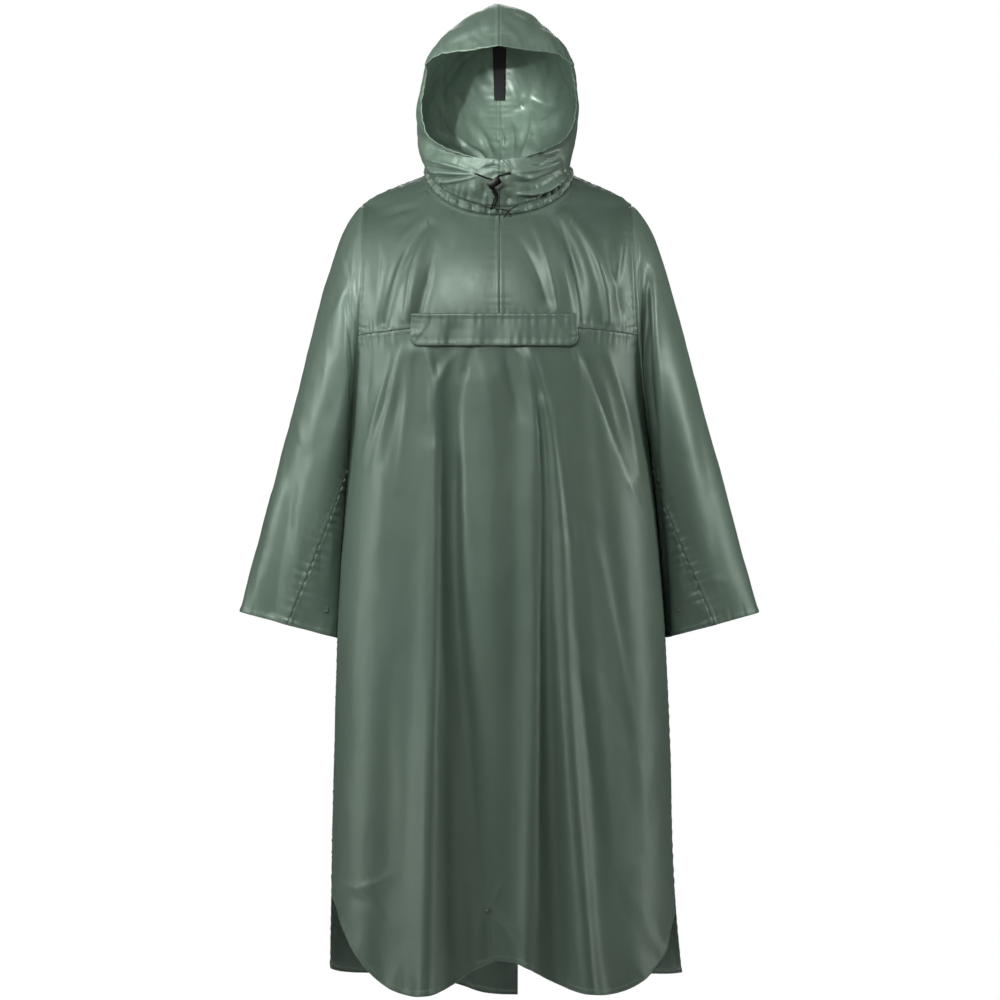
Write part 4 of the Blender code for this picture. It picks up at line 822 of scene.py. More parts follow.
def fine_sleeve(side, under=False):
    down = spaced(SLEEVE_LONG, STEP)
    share = spaced(GUSSET_WIDE if under else SLEEVE_WIDE, STEP) * 2 - 1
    down, share = np.meshgrid(down, share, indexing="ij")
    half = gusset_angle(down)
    angle = pi + share * half if under else share * (pi - half)
    points = sleeve_points(side, angle, down)
    points[:len(SLEEVE_PULL), :, 0] -= side * np.array(SLEEVE_PULL)[:, None]
    return points


def fine_hood(side):
    height = spaced(HOOD_LONG, FINE_STEP) ** HOOD_PACE
    height, angle = np.meshgrid(height, spaced(HOOD_WIDE, FINE_STEP) * pi, indexing="ij")
    points = hood_points(height, side * np.maximum(angle, 1e-6))
    points[:, 0, 0] = 0
    return points


def ring_points(rim, angle):
    """Points round the neck on a rim, by the angle from the nape."""
    at = np.arctan2(rim[:, 0] / NECK_HALF_WIDTH, (rim[:, 1] - NECK_CENTRE_Y) / NECK_HALF_DEPTH)
    order = np.argsort(at)
    at, rim = at[order], rim[order]
    at = np.concatenate([at - 2 * pi, at, at + 2 * pi])
    rim = np.concatenate([rim, rim, rim])
    return np.stack([np.interp(angle, at, rim[:, axis]) for axis in range(3)], axis=-1)


def casing_spine():
    """Low and high edges of the neck's tunnel, from the nape round, at an even angle."""
    angle = np.linspace(-pi, pi, CASING_TURNS + 1)
    corner = NECK_HALF_WIDTH + 1e-5
    neck = np.concatenate([grid[0] for grid in (fine_yoke(LEFT), fine_yoke(RIGHT),
                                                fine_back(LEFT), fine_back(RIGHT))])
    neck = neck[np.abs(neck[:, 0]) < corner]
    hood = np.concatenate([fine_hood(LEFT)[0], fine_hood(RIGHT)[0]])
    return angle, ring_points(neck, angle), ring_points(hood, angle)


def gathers(angle):
    """Uneven ruffles of the tunnel round the neck, at places bunched up."""
    random = np.random.default_rng(7)
    phase = CASING_GATHERS * 1.25 * angle
    for _ in range(4):
        phase = phase + random.uniform(0.5, 1.1) * np.sin(
            random.integers(2, 9) * angle + random.uniform(0, 6.28))
    wave = np.cos(phase) + 0.35 * np.cos(2.3 * phase + 1.0) + 0.2 * np.cos(0.47 * phase)
    return np.sign(wave) * np.abs(wave) ** 0.8


def fine_casing():
    angle, low, high = casing_spine()
    lift, ring = np.meshgrid(np.linspace(0, 1, CASING_ROWS), angle, indexing="ij")
    points = low + (high - low) * lift[..., None]
    outward_way = np.stack([np.sin(ring), np.cos(ring), 0 * ring], axis=-1)
    lean = 0.35 * np.sin(3 * ring + 1)
    swell = CASING_BULGE + RUFFLE_DEPTH * gathers(ring + 0.03 * lean * lift)
    points = points + outward_way * (swell * np.sin(pi * lift) ** 0.8)[..., None]
    points[:, -1] = points[:, 0]
    return points[::-1]


def fine_flap():
    """The storm flap, standing off the panels under it, with round lower corners."""
    first, last = front_turn(FLAP_LEFT, FLAP_LOW_Z), front_turn(FLAP_RIGHT, FLAP_LOW_Z)
    across, down = FLAP_STEPS
    turns = first + (last - first) * spaced(FLAP_RIGHT - FLAP_LEFT, across)
    x = FLAP_LEFT + (FLAP_RIGHT - FLAP_LEFT) * (np.sin(turns) - sin(first)) / (sin(last) - sin(first))
    start = np.clip(1 - np.minimum(x - FLAP_LEFT, FLAP_RIGHT - x) / FLAP_CORNER, 0, 1)
    low = FLAP_LOW_Z + FLAP_CORNER * (1 - np.sqrt(1 - start ** 2))
    shares = spaced(FLAP_TOP_Z - FLAP_LOW_Z, down)[:, None]
    heights = FLAP_TOP_Z + (low - FLAP_TOP_Z) * shares
    points = column_grid(FRONT, turns, heights)
    free = np.clip((FLAP_TOP_Z - FLAP_BAND - heights) / (FLAP_TOP_Z - FLAP_BAND - FLAP_LOW_Z), 0, 1)
    off = WALL + 2 * TRIM_GAP + FLAP_FREE * free
    points[..., 0] += off * np.sin(turns) * 0.5
    points[..., 1] -= off
    return points


# ---------------------------------------------------------------- objects
def shell(name, points, away, relief, hems=(), seams=(), seed=0, thickness=SHELL):
    """A cloth piece: its grid moved out by its relief, hems and seams, given a wall and stitch maps."""
    normal = np.cross(np.gradient(points, axis=1), np.gradient(points, axis=0))
    normal /= np.maximum(np.linalg.norm(normal, axis=-1, keepdims=True), 1e-12)
    sign = np.sign((normal * away).sum(-1).mean())
    normal *= sign
    rise = relief(points, normal) if relief else np.zeros(points.shape[:2])
    nearest = {kind: (np.full(points.shape[:2], FAR_OFF), np.zeros(points.shape[:2]))
               for kind in ("hem", "seam")}
    edges = [("hem", edge, {}) for edge in hems]
    edges += [("seam", edge, options) for edge, options in seams]
    for number, (kind, edge, options) in enumerate(edges):
        distance, place = edge_distance(points, edge)
        place = place + 0.37 * number
        if kind == "hem":
            rise = rise + hem_relief(distance, place, seed + 3 * number)
        else:
            rise = rise * (1 - options.get("flat", 0) * bump(distance, 0.02))
            rise = rise + seam_relief(distance, place, seed + 3 * number, options.get("pull", 1),
                                      options.get("lap", SEAM_LAP))
        if options.get("stitched", True):
            old, old_place = nearest[kind]
            closer = distance < old
            nearest[kind] = (np.where(closer, distance, old), np.where(closer, place, old_place))
    shaped = points + normal * rise[..., None]
    rows, columns = points.shape[:2]
    index = np.arange(rows * columns).reshape(rows, columns)
    a, b, c, d = index[:-1, :-1], index[:-1, 1:], index[1:, 1:], index[1:, :-1]
    order = (a, d, c, b) if sign > 0 else (a, b, c, d)
    faces = np.stack([corner.ravel() for corner in order], axis=1)
    mesh = bpy.data.meshes.new(name)
    mesh.vertices.add(rows * columns)
    mesh.vertices.foreach_set("co", shaped.reshape(-1))
    mesh.loops.add(faces.size)
    mesh.loops.foreach_set("vertex_index", faces.reshape(-1).astype(np.int32))
    mesh.polygons.add(len(faces))
    mesh.polygons.foreach_set("loop_start", np.arange(0, faces.size, 4, dtype=np.int32))
    mesh.update(calc_edges=True)
    mesh.polygons.foreach_set("use_smooth", np.ones(len(faces), dtype=bool))
    for layer, (distance, place) in nearest.items():
        values = np.stack([distance.ravel(), place.ravel()], axis=1)[faces.reshape(-1)]
        mesh.uv_layers.new(name=layer).data.foreach_set("uv", values.reshape(-1))
    piece = bpy.data.objects.new(name, mesh)
    bpy.context.scene.collection.objects.link(piece)
    wall = piece.modifiers.new("wall", "SOLIDIFY")
    wall.thickness = thickness
    wall.offset = -1
    mesh.validate()
    return piece


def dress(piece, material, slot, *nodes):
    piece.data.materials.append(material)
    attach(piece, "root")
    if nodes:
        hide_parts(*nodes)
    return piece


def facing_share(normal, face):
    """1 where the cloth faces front or back, falling to 0 where it faces aside or up."""
    return np.clip(face * normal[..., 1] * 1.6, 0, 1)


def panel_crinkles(points):
    return 0.0012 * crumple(points, 0.050, 11, 3.0) + 0.00045 * crumple(points, 0.020, 12, 1.8)


def front_relief(points, normal):
    creases = fold_rise(points[..., 0], points[..., 2], FRONT_CREASES)
    return creases * facing_share(normal, FRONT) + panel_crinkles(points)


def back_relief(points, normal):
    creases = fold_rise(points[..., 0], points[..., 2], BACK_CREASES)
    return creases * facing_share(normal, BACK) + panel_crinkles(points)


def sleeve_relief(points, normal):
    """The same creases behind as in front, a little lower and softer."""
    x, z = points[..., 0], points[..., 2]
    rise = fold_rise(x, z, SLEEVE_CREASES) * facing_share(normal, FRONT)
    out, down, share = SLEEVE_BEHIND
    rise += share * fold_rise(x + out, z + down, SLEEVE_CREASES) * facing_share(normal, BACK)
    return rise + 0.0016 * crumple(points, 0.050, 13, 2.6) + 0.0005 * crumple(points, 0.020, 14, 1.6)


def hood_relief(points, normal):
    """Creases by region, crinkles that are deeper at the back, and a flatter strip behind the tape."""
    x, z = points[..., 0], points[..., 2]
    front, back = facing_share(normal, FRONT), facing_share(normal, BACK)
    top = np.clip((z - CROWN_Z) / CROWN_OVER, 0, 1)
    rise = fold_rise(x, z, CROWN_CREASES) * front * top
    rise += fold_rise(x, z, CHIN_CREASES) * front * (1 - top)
    rise += fold_rise(x, z, NAPE_CREASES) * back
    rise += 0.0022 * (1 + back) * crumple(points, 0.040, 15)
    rise += 0.0009 * (1 + back) * crumple(points, 0.017, 16)
    return rise * (1 - TAPE_FLAT * bump(x, TAPE_STRIP) * top * back)


def from_axis(points, y=0.0):
    """Directions straight away from an upright axis."""
    return (points - (0, y, 0)) * (1, 1, 0)


def make_cloth(nylon):
    """Every cloth piece, over its own solid."""
    pieces = {}
    for side in (LEFT, RIGHT):
        name = NAMES[side]
        yoke = fine_yoke(side)
        inner, outer = (-1, 0) if side == LEFT else (0, -1)
        pieces["yoke_" + name] = shell(
            "yoke_cloth_" + name, yoke, from_axis(yoke), front_relief,
            seams=[(yoke[:, inner], {"pull": 0.5}), (yoke[-1], {"pull": 1.2}),
                   (yoke[0], {"pull": 0.8}), (yoke[:, outer], {"pull": 0.8, "flat": 0.8})], seed=20)
        back = fine_back(side)
        pieces["back_" + name] = shell(
            "back_cloth_" + name, back, from_axis(back), back_relief,
            hems=[back[-1]],
            seams=[(back[:, inner], {"pull": 0.6}), (back[0], {"pull": 0.8}),
                   (back[:, outer], {"pull": 0.6, "flat": 0.8})], seed=40)
        sleeve = fine_sleeve(side)
        middle = sleeve.mean(axis=1, keepdims=True)
        pieces["sleeve_" + name] = shell(
            "sleeve_cloth_" + name, sleeve, sleeve - middle, sleeve_relief,
            hems=[sleeve[-1]],
            seams=[(sleeve[0], {"pull": 1.0, "flat": 0.9}), (sleeve[:, 0], {"pull": 1.6}),
                   (sleeve[:, -1], {"pull": 1.6})], seed=60)
        under = fine_sleeve(side, under=True)
        pieces["gusset_" + name] = shell(
            "under_sleeve_cloth_" + name, under, under - middle[:len(under)], sleeve_relief,
            hems=[under[-1]],
            seams=[(under[0], {"flat": 0.9}), (under[:, 0], {"pull": 1.6, "stitched": False}),
                   (under[:, -1], {"pull": 1.6, "stitched": False})], seed=80)
        hood = fine_hood(side)
        pieces["hood_" + name] = shell(
            "hood_cloth_" + name, hood, hood - np.array(HOOD_MIDDLE), hood_relief,
            hems=[hood[-1]],
            seams=[(hood[:, 0], {"pull": 0.7}), (hood[0], {"pull": 1.5}), (hood[:, -1], {"pull": 0.8})],
            seed=100)
    front = fine_front()
    pieces["front_panel"] = shell(
        "front_cloth", front, from_axis(front), front_relief, hems=[front[-1]],
        seams=[(front[0], {"pull": 1.2}), (front[:, 0], {"pull": 0.8, "flat": 0.8}),
               (front[:, -1], {"pull": 0.8, "flat": 0.8})], seed=120)
    casing = fine_casing()
    flat_seam = {"pull": 0, "lap": 0}
    pieces["neck_casing"] = shell(
        "neck_tunnel_cloth", casing, from_axis(casing, NECK_CENTRE_Y), None,
        seams=[(casing[0], flat_seam), (casing[-1], flat_seam)], seed=140)
    flap = fine_flap()
    pieces["chest_flap"] = shell(
        "storm_flap_cloth", flap, from_axis(flap), None,
        hems=[flap[-1], flap[:, 0], flap[:, -1]], seams=[(flap[0], {"pull": 0.8})], seed=160)
    for node, piece in pieces.items():
        nodes = (node,)
        if node.startswith("back"):
            nodes = (node.replace("back", "back_upper"), node.replace("back", "back_lower"))
        dress(piece, nylon, "nylon", *nodes)
    return pieces


# ---------------------------------------------------------------- material maths
class Number:
    """A number inside a material; arithmetic on it adds the nodes."""

    def __init__(self, nodes, socket):
        self.nodes = nodes
        self.socket = socket

    def maths(self, operation, *others, first=None, clamp=False):
        values = [self, *others] if first is None else [first, self]
        node = self.nodes.node("ShaderNodeMath", {"operation": operation, "use_clamp": clamp},
                               dict(enumerate(values)))
        return Number(self.nodes, node.outputs[0])

    def __add__(self, other):
        return self.maths("ADD", other)

    def __sub__(self, other):
        return self.maths("SUBTRACT", other)

    def __mul__(self, other):
        return self.maths("MULTIPLY", other)

    def __truediv__(self, other):
        return self.maths("DIVIDE", other)

    def __rsub__(self, other):
        return self.maths("SUBTRACT", first=other)

    __radd__ = __add__
    __rmul__ = __mul__

    def near(self, centre, width):
        """1 at a value, falling to 0 a width away."""
        return (1 - (self - centre).maths("ABSOLUTE") / width).maths("MAXIMUM", 0)

    def below(self, edge, soft):
        """1 below a value, 0 above it."""
        return ((edge - self) / soft + 0.5).maths("ADD", 0, clamp=True)


class Finish:
    """A material's nodes."""

    def __init__(self, name):
        self.material = bpy.data.materials.new(name)
        self.material.use_nodes = True
        self.tree = self.material.node_tree
        self.tree.nodes.clear()

    def node(self, kind, settings=None, inputs=None):
        node = self.tree.nodes.new(kind)
        for name, value in (settings or {}).items():
            setattr(node, name, value)
        for name, value in (inputs or {}).items():
            if isinstance(value, Number):
                value = value.socket
            if isinstance(value, bpy.types.NodeSocket):
                self.tree.links.new(value, node.inputs[name])
            else:
                node.inputs[name].default_value = value
        return node

    def place(self):
        return self.node("ShaderNodeTexCoord").outputs["Object"]

    def uv(self, layer):
        """Distance and place along, as a pair of numbers."""
        parts = self.node("ShaderNodeSeparateXYZ", None,
                          {0: self.node("ShaderNodeUVMap", {"uv_map": layer}).outputs[0]})
        return Number(self, parts.outputs[0]), Number(self, parts.outputs[1])

    def noise(self, place, scale, detail=3.0, roughness=0.5):
        node = self.node("ShaderNodeTexNoise", None, {"Vector": place, "Scale": scale, "Detail": detail,
                                                      "Roughness": roughness})
        return Number(self, node.outputs["Fac"])

    def bands(self, way, place, scale, distortion):
        node = self.node("ShaderNodeTexWave", {"wave_type": "BANDS", "bands_direction": way},
                         {"Vector": place, "Scale": scale, "Distortion": distortion})
        return Number(self, node.outputs["Fac"])

    def mix(self, share, first, second):
        node = self.node("ShaderNodeMix", {"data_type": "RGBA"}, {0: share, 6: first, 7: second})
        return node.outputs[2]

    def bumps(self, height, distance, strength):
        node = self.node("ShaderNodeBump", None, {"Strength": strength, "Distance": distance,
                                                  "Height": height})
        return node.outputs[0]

    def finish(self, inputs):
        shader = self.node("ShaderNodeBsdfPrincipled", None, inputs)
        self.node("ShaderNodeOutputMaterial", None, {"Surface": shader.outputs[0]})
        return self.material


def scaled(finish, place, ways):
    return finish.node("ShaderNodeVectorMath", {"operation": "MULTIPLY"}, {0: place, 1: ways}).outputs[0]


def shaded(colour, share):
    return tuple(share * value for value in colour[:3]) + (1,)


def dashes(place):
    """1 on each stitch of a row, 0 between them."""
    pitch = STITCH + STITCH_GAP
    share = (place / pitch).maths("FRACT")
    return share.near(0.5, 0.5 * STITCH / pitch + 0.12).maths("MULTIPLY", 5, clamp=True)


NYLON = (0.072, 0.106, 0.081, 1)
# a deeper green: for the random tone, and as painted shade along the hems
NYLON_DEEP = (0.060, 0.090, 0.068, 1)
THREAD = (0.110, 0.150, 0.120, 1)


def make_nylon():
    """Coated nylon: tight plain weave, small crinkles, stitch rows beside the seams and on the hems, and
    painted shade along the hems.
    """
    finish = Finish("coated nylon")
    place = finish.place()
    hem, along_hem = finish.uv("hem")
    seam, along_seam = finish.uv("seam")
    tint = finish.noise(place, 9.0, 2.0)
    crinkle = finish.noise(scaled(finish, place, (1, 1, 0.6)), 95.0, 4.0, 0.6)
    weave = finish.noise(place, 900.0, 1.0)
    # painted shade: the band along each hem is painted darker, towards NYLON_DEEP
    turned = hem.below(HEM_BAND, 0.0006)
    hem_row = hem.near(HEM_STITCH, 0.0006) * dashes(along_hem)
    seam_row = seam.near(SEAM_STITCH, 0.0006) * dashes(along_seam)
    join = seam.near(0.0, 0.0008)
    stitch = hem_row.maths("MAXIMUM", seam_row)
    colour = finish.mix(tint, NYLON, NYLON_DEEP)
    colour = finish.mix(turned * 0.35, colour, NYLON_DEEP)
    colour = finish.mix(stitch * 0.5, colour, THREAD)
    height = crinkle * 0.9 + weave * 0.10 + stitch * 0.5 - join * 0.8
    return finish.finish({"Base Color": colour,
                          "Roughness": 0.38 + crinkle * 0.14 + stitch * 0.2,
                          "Specular IOR Level": 0.8,
                          "Specular Tint": (0.82, 0.98, 0.86, 1),
                          "Normal": finish.bumps(height, 0.0006, 0.55)})


def make_plain(name, colour, roughness, shine=0.5):
    """Moulded plastic with a fine grain."""
    finish = Finish(name)
    grain = finish.noise(finish.place(), 300.0)
    return finish.finish({"Base Color": finish.mix(grain, colour, shaded(colour, 0.75)),
                          "Roughness": roughness + grain * 0.08,
                          "Specular IOR Level": shine,
                          "Normal": finish.bumps(grain, 0.0002, 0.4)})


def make_braid(name, colour, pitch):
    """A round braid: strands that cross both ways, with painted shade between them."""
    finish = Finish(name)
    place = finish.place()
    one = finish.bands("DIAGONAL", place, 1 / pitch, 1.0)
    two = finish.bands("DIAGONAL", scaled(finish, place, (-1, 1, 1)), 1 / pitch, 1.0)
    strands = one.maths("MAXIMUM", two)
    # painted shade: the braid's colour is darker in the grooves between its strands
    return finish.finish({"Base Color": finish.mix(strands, shaded(colour, 0.4), colour),
                          "Roughness": 0.6 + strands * 0.1,
                          "Specular IOR Level": 0.15,
                          "Normal": finish.bumps(strands, 0.0003, 0.7)})


def make_webbing(name, colour):
    """Flat webbing: close ribs across it, with finer threads along them, and painted shade between the
    ribs.
    """
    finish = Finish(name)
    place = finish.place()
    ribs = finish.bands("Z", place, 260.0, 0.6)
    threads = finish.noise(scaled(finish, place, (1, 0.3, 0.3)), 1400.0, 2.0)
    # painted shade: the webbing's colour is darker in the grooves between its ribs
    return finish.finish({"Base Color": finish.mix(ribs, shaded(colour, 0.5), colour),
                          "Roughness": 0.72 + threads * 0.12,
                          "Specular IOR Level": 0.25,
                          "Normal": finish.bumps(ribs * 0.7 + threads * 0.3, 0.0003, 0.6)})


# ---------------------------------------------------------------- camera, light and floor
CAMERA_FAR = 15.0
SENSOR = 36                  # in millimetres, as is the lens
FRAME_HIGH = 1.5             # how much of the garment's own plane the camera takes in
GARMENT_Y = -0.1
MIDDLE_X, MIDDLE_Z = 0.00075, -0.4725
FLOOR_Z = -1.55


def place_camera():
    data = bpy.data.cameras.new("camera")
    data.sensor_width = SENSOR
    data.lens = SENSOR * (CAMERA_FAR + GARMENT_Y) / FRAME_HIGH
    data.clip_start, data.clip_end = 0.1, 100
    camera = bpy.data.objects.new("camera", data)
    camera.location = (MIDDLE_X, -CAMERA_FAR, MIDDLE_Z)
    camera.rotation_euler = (pi / 2, 0, 0)
    bpy.context.scene.collection.objects.link(camera)
    bpy.context.scene.camera = camera


def aim(data, location, target, power):
    """A light towards a target, itself unseen."""
    data.energy = power
    light = bpy.data.objects.new(data.name, data)
    light.location = location
    light.rotation_euler = (Vector(target) - Vector(location)).to_track_quat("-Z", "Y").to_euler()
    light.visible_camera = False
    bpy.context.scene.collection.objects.link(light)
    return light


def softbox(name, location, target, size, power):
    data = bpy.data.lights.new(name, "AREA")
    data.shape = "RECTANGLE"
    data.size, data.size_y = size
    return aim(data, location, target, power)


def snoot(name, location, target, angle, power):
    """A narrow soft-edged spot."""
    data = bpy.data.lights.new(name, "SPOT")
    data.spot_size, data.spot_blend = angle, 0.5
    data.shadow_soft_size = 0.05
    return aim(data, location, target, power)


def shine_on(light, pieces):
    """Keep a light to some pieces."""
    group = bpy.data.collections.new(light.name + " pieces")
    for piece in pieces:
        group.objects.link(piece)
    light.light_linking.receiver_collection = group


def light_studio(pieces):
    scene = bpy.context.scene
    scene.view_settings.view_transform = "Standard"
    world = bpy.data.worlds.new("studio")
    world.use_nodes = True
    tree = world.node_tree
    tree.nodes.clear()
    ray = tree.nodes.new("ShaderNodeLightPath")
    level = tree.nodes.new("ShaderNodeMix")
    level.inputs[2].default_value = 0.04
    level.inputs[3].default_value = 1.0
    tree.links.new(ray.outputs["Is Camera Ray"], level.inputs[0])
    background = tree.nodes.new("ShaderNodeBackground")
    background.inputs["Color"].default_value = (1, 1, 1, 1)
    tree.links.new(level.outputs[0], background.inputs["Strength"])
    output = tree.nodes.new("ShaderNodeOutputWorld")
    tree.links.new(background.outputs[0], output.inputs[0])
    scene.world = world
    softbox("left overhead softbox", (-1.0, -0.9, 1.2), (0, 0, -0.2), (0.8, 0.6), 5)
    softbox("right overhead softbox", (1.0, -0.9, 1.2), (0, 0, -0.2), (0.8, 0.6), 4)
    softbox("front softbox", (-0.4, -1.3, 0.3), (0, 0, -0.38), (0.8, 0.4), 15)
    softbox("left softbox", (-1.5, -0.45, 0.2), (-0.3, 0, -0.3), (0.4, 0.8), 15)
    softbox("right softbox", (1.6, -0.25, 0.2), (0.3, 0, -0.3), (0.4, 0.8), 13)
    softbox("left low softbox", (-2.2, -0.4, -0.7), (0, 0, -0.7), (0.5, 1.0), 7)
    softbox("right low softbox", (2.2, -0.3, -0.7), (0, 0, -0.7), (0.5, 1.0), 7)
    softbox("back softbox", (0, 2.6, 0.9), (0, 0, -0.4), (1.0, 1.4), 45)
    softbox("hood fill", (0, -0.11, 0.145), (0, 0.10, 0.09), (0.06, 0.06), 0.16)
    snoot("hood snoot", (-0.9, -2.9, 0.30), (0.005, 0.1, 0.10), 0.058, 850)
    hood = softbox("hood softbox", (-0.5, -0.8, 1.2), (0, -0.05, 0.15), (0.6, 0.4), 17)
    shine_on(hood, [pieces["hood_left"], pieces["hood_right"]])
    for side, name in NAMES.items():
        place = (-0.3, -1.4, 0.1) if side < 0 else (1.3, -0.9, 0.15)
        sleeve = softbox(name + " sleeve softbox", place, (0.3 * side, 0, -0.3), (0.4, 0.8),
                         12 if side < 0 else 5)
        shine_on(sleeve, [pieces["sleeve_" + name], pieces["gusset_" + name]])


def lay_floor():
    finish = Finish("pale floor")
    grain = finish.noise(finish.place(), 40.0)
    grey, pale = (0.80, 0.80, 0.80, 1), (0.84, 0.84, 0.84, 1)
    material = finish.finish({"Base Color": finish.mix(grain, grey, pale), "Roughness": 0.7})
    mesh = bpy.data.meshes.new("floor")
    work = bmesh.new()
    bmesh.ops.create_circle(work, cap_ends=True, segments=96, radius=5.0)
    work.to_mesh(mesh)
    work.free()
    floor = bpy.data.objects.new("floor", mesh)
    floor.location.z = FLOOR_Z
    mesh.materials.append(material)
    bpy.context.scene.collection.objects.link(floor)


# ---------------------------------------------------------------- cords and trim
def cord_curve(name, points, diameter, braid, *nodes):
    data = bpy.data.curves.new(name, "CURVE")
    data.dimensions = "3D"
    data.resolution_u = 6
    data.bevel_depth = diameter / 2
    data.bevel_resolution = 3
    data.use_fill_caps = True
    spline = data.splines.new("BEZIER")
    spline.bezier_points.add(len(points) - 1)
    for spot, point in zip(spline.bezier_points, points):
        spot.co = point
        spot.handle_left_type = spot.handle_right_type = "AUTO"
    piece = bpy.data.objects.new(name, data)
    bpy.context.scene.collection.objects.link(piece)
    return dress(piece, braid, "braid", *nodes)


def build(name, work, bevel=0.0, place=None):
    """An object of a bmesh's faces, with soft edges."""
    mesh = bpy.data.meshes.new(name)
    work.to_mesh(mesh)
    work.free()
    mesh.shade_smooth()
    piece = bpy.data.objects.new(name, mesh)
    if place is not None:
        mesh.transform(place)
    bpy.context.scene.collection.objects.link(piece)
    if bevel:
        soft = piece.modifiers.new("edges", "BEVEL")
        soft.width, soft.segments, soft.limit_method = bevel, 3, "ANGLE"
        soft.angle_limit = radians(35)
    return piece


def turned(name, profile, place, steps=48):
    """A solid turned about its own Z from radius and height pairs."""
    work = bmesh.new()
    turns = [2 * pi * k / steps for k in range(steps)]
    rings = []
    for radius, height in profile:
        used = turns if radius else (0,)
        rings.append([work.verts.new((radius * cos(t), radius * sin(t), height)) for t in used])
    for one, two in zip(rings[:-1], rings[1:]):
        for k in range(steps):
            corners = [one[k % len(one)], two[k % len(two)], two[(k + 1) % len(two)],
                       one[(k + 1) % len(one)]]
            corners = list(dict.fromkeys(corners))
            if len(corners) > 2:
                work.faces.new(corners)
    bmesh.ops.recalc_face_normals(work, faces=work.faces)
    return build(name, work, place=place)


def box(work, size, centre=(0, 0, 0)):
    """A box added to a bmesh."""
    for vert in bmesh.ops.create_cube(work, size=1)["verts"]:
        vert.co = Vector(share * side + middle for share, side, middle in zip(vert.co, size, centre))


def circle(radius, tube, steps):
    """A rolled ring's section, for a turned solid."""
    return [(radius + tube * cos(t), tube * sin(t)) for t in np.linspace(0, 2 * pi, steps + 1)]


def node_middle(name):
    """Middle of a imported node's own form."""
    node = frame["nodes"][name]
    corners = np.array([node.matrix_world @ Vector(corner) for corner in node.bound_box])
    return Vector((corners.min(axis=0) + corners.max(axis=0)) / 2)


def facing(spot, way):
    """Matrix that stands something on a spot with its Z along a direction."""
    return Matrix.Translation(spot) @ Vector(way).to_track_quat("Z", "Y").to_matrix().to_4x4()


# A press stud's profile, and for each stud its cloth and the way it faces.
STUD = ((0.0, 0.0021), (0.0016, 0.0020), (0.0024, 0.0018), (0.0028, 0.0024), (0.0036, 0.0027),
        (0.0044, 0.0026), (0.0050, 0.0021), (0.0053, 0.0013), (0.0053, 0.0006), (0.0047, 0.0001),
        (0.0, 0.0))
STUDS = {
    "snap_cuff_left": ("gusset_left", (-0.30, -0.95, -0.06)),
    "snap_cuff_right": ("gusset_right", (0.34, -0.94, -0.06)),
    "snap_hem": ("front_panel", (-0.25, -0.95, 0.10)),
}
STUD_REACH = 0.003           # the cloth's front is looked for this near a stud's middle
STUD_SINK = 0.0003           # how deep a stud sits in it
EYELET_WAYS = {"eyelet_left": (-0.30, -0.93, 0.20), "eyelet_right": (0.12, -0.93, 0.20)}


def cloth_front(cloth, spot):
    """How far forward a piece of cloth comes close to a spot."""
    points = np.array([vertex.co for vertex in cloth.data.vertices])
    near = np.hypot(points[:, 0] - spot.x, points[:, 2] - spot.z) < STUD_REACH
    return points[near, 1].min() if near.any() else spot.y


def make_studs(green, pieces):
    """Press studs: a cap with a rolled rim and a dished middle."""
    for node, (cloth, way) in STUDS.items():
        spot = node_middle(node)
        spot.y = cloth_front(pieces[cloth], spot) + STUD_SINK
        piece = turned(node + "_cap", STUD, facing(spot, way))
        dress(piece, green, "green_plastic", node)


def make_eyelets(black):
    """Rolled eyelets."""
    ring = circle(EYELET_RADIUS, EYELET_TUBE, 16)
    for node, way in EYELET_WAYS.items():
        piece = turned(node + "_ring", ring, facing(node_middle(node), way), 40)
        dress(piece, black, "black_plastic", node)


def make_lock(black, grey):
    """The cord lock's body with its two cord holes' rims, and the button with its finger grooves."""
    turn = Matrix.Translation(LOCK_CENTRE) @ Matrix.Rotation(-LOCK_TILT, 4, "Y")
    wide, deep, tall = LOCK_SIZE
    work = bmesh.new()
    box(work, (wide * 1.02, deep, tall * 1.02))
    body = build("cord_lock_body", work, 0.0009, turn)
    dress(body, black, "black_plastic", "cord_lock")
    rim = circle(0.0021, 0.0006, 12)
    for number, shift in enumerate((-0.26, 0.26)):
        spot = turn @ Matrix.Translation((wide * shift, -deep * 0.44, tall * 0.1))
        face = spot @ Matrix.Rotation(pi / 2, 4, "X")
        piece = turned("cord_lock_rim_%d" % (number + 1), rim, face, 28)
        dress(piece, black, "black_plastic")
    work = bmesh.new()
    wide, deep, tall = PLUNGER_SIZE
    box(work, (wide * 0.94, deep * 0.9, tall * 0.55), (0, 0, tall * 0.12))
    box(work, (wide * 0.80, deep * 0.8, tall * 0.30), (0, 0, -tall * 0.34))
    for k in (-1, 0, 1):
        box(work, (wide * 0.055, deep * 0.96, tall * 0.5), (wide * 0.22 * k, 0, tall * 0.12))
    button = build("cord_lock_button", work, 0.0006, turn @ Matrix.Translation(PLUNGER_SHIFT))
    dress(button, grey, "black_plastic", "cord_plunger")


def make_knot(braid):
    """The knot of both cord ends: turns of cord round them."""
    top, low = Vector(KNOT_TOP), Vector(KNOT_LOW)
    way = (low - top).normalized()
    side = way.cross(Vector((0, 1, 0))).normalized()
    across = way.cross(side)
    points = []
    for t in np.linspace(0, 1, 33):
        turn = 2 * pi * KNOT_TURNS * t
        radius = KNOT_RADIUS * (0.62 + 0.12 * sin(3 * turn))
        lean = 0.0012 * sin(turn)
        points.append(top + way * ((low - top).length * (0.14 + 0.72 * t) + lean)
                      + side * radius * cos(turn) + across * radius * sin(turn))
    return cord_curve("drawcord_knot", points, HOOD_CORD, braid, "cord_knot")


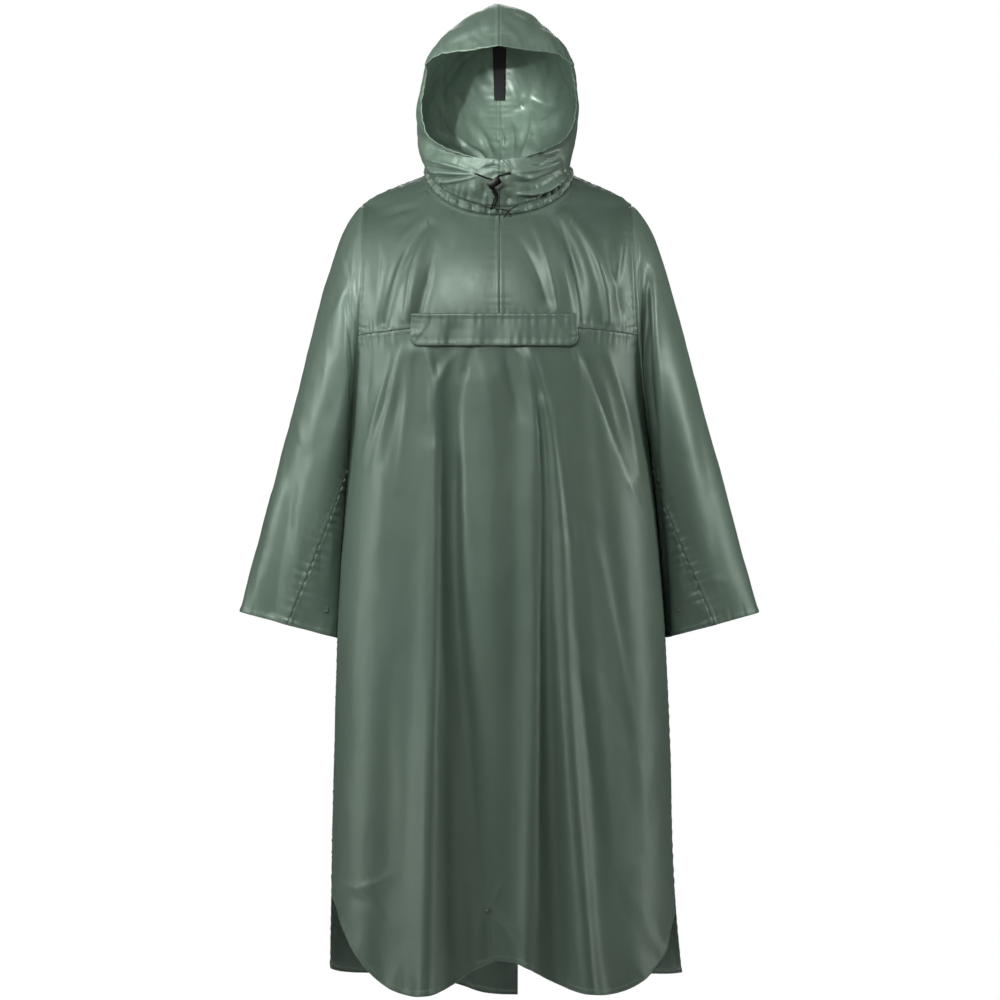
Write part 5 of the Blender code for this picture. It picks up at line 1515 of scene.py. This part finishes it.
def make_tape(webbing):
    """Webbing on the hood's back seam, inside the hood."""
    rows = np.linspace(TAPE_LOW, TAPE_TOP, TAPE_STEPS[0])
    share = (rows - TAPE_LOW) / (TAPE_TOP - TAPE_LOW)
    across = np.linspace(-0.5, 0.5, TAPE_STEPS[1])
    spine = hood_points(rows / (len(HOOD_SECTIONS) - 1), np.full(rows.shape, 1e-6))
    ahead = np.gradient(spine, axis=0)
    ahead /= np.linalg.norm(ahead, axis=1, keepdims=True)
    inward = np.cross(np.array((1.0, 0, 0)), ahead)
    inward *= np.sign(-inward[:, 1:2])
    width = TAPE_WIDTHS[0] + (TAPE_WIDTHS[1] - TAPE_WIDTHS[0]) * share
    lift = WALL + TAPE_GAP + TAPE_WALL + 0.0004 * np.sin(pi * share * 3)
    points = (spine + inward * lift[:, None])[:, None, :] + 0 * across[None, :, None]
    points[..., 0] = across * width[:, None]
    points = points - inward[:, None, :] * (np.abs(across) ** 2 * 0.002)[None, :, None]
    away = np.broadcast_to(inward[:, None, :], points.shape)
    piece = shell("hood_webbing", points, away, None, thickness=TAPE_WALL)
    dress(piece, webbing, "webbing", "hood_tape")


def make_cords(braid, fine_braid, knot):
    """Hood cord ends from their eyelets through the lock and knot, and the neck cord's two ends."""
    for side, shift, tied in (("left", -0.0007, (knot,)), ("right", 0.0007, ())):
        nodes = ("hood_cord_" + side, "hood_cord_end_" + side)
        in_lock = tuple((x + shift, y, z) for x, y, z in LOCK_ROUTE)
        route = CORD_ROUTES[nodes[0]] + in_lock + CORD_ROUTES[nodes[1]]
        piece = cord_curve("hood_drawcord_" + side, route, HOOD_CORD_END, braid, *nodes)
        node = "neck_cord_" + side
        route = CORD_ROUTES[node]
        piece = cord_curve("neck_drawcord_" + side, route, NECK_CORD, fine_braid, node)


def main():
    place_camera()
    nylon = make_nylon()
    braid = make_braid("black braid", (0.006, 0.007, 0.006, 1), 0.0016)
    fine_braid = make_braid("dark grey braid", (0.030, 0.034, 0.031, 1), 0.0012)
    webbing = make_webbing("black webbing", (0.005, 0.0055, 0.0055, 1))
    black = make_plain("black plastic", (0.002, 0.0023, 0.0023, 1), 0.22, 0.22)
    grey = make_plain("grey plastic", (0.045, 0.062, 0.052, 1), 0.34)
    green = make_plain("green plastic", (0.078, 0.115, 0.088, 1), 0.42)
    make_cords(braid, fine_braid, make_knot(braid))
    pieces = make_cloth(nylon)
    make_studs(green, pieces)
    make_eyelets(black)
    make_lock(black, grey)
    make_tape(webbing)
    light_studio(pieces)
    lay_floor()


main()
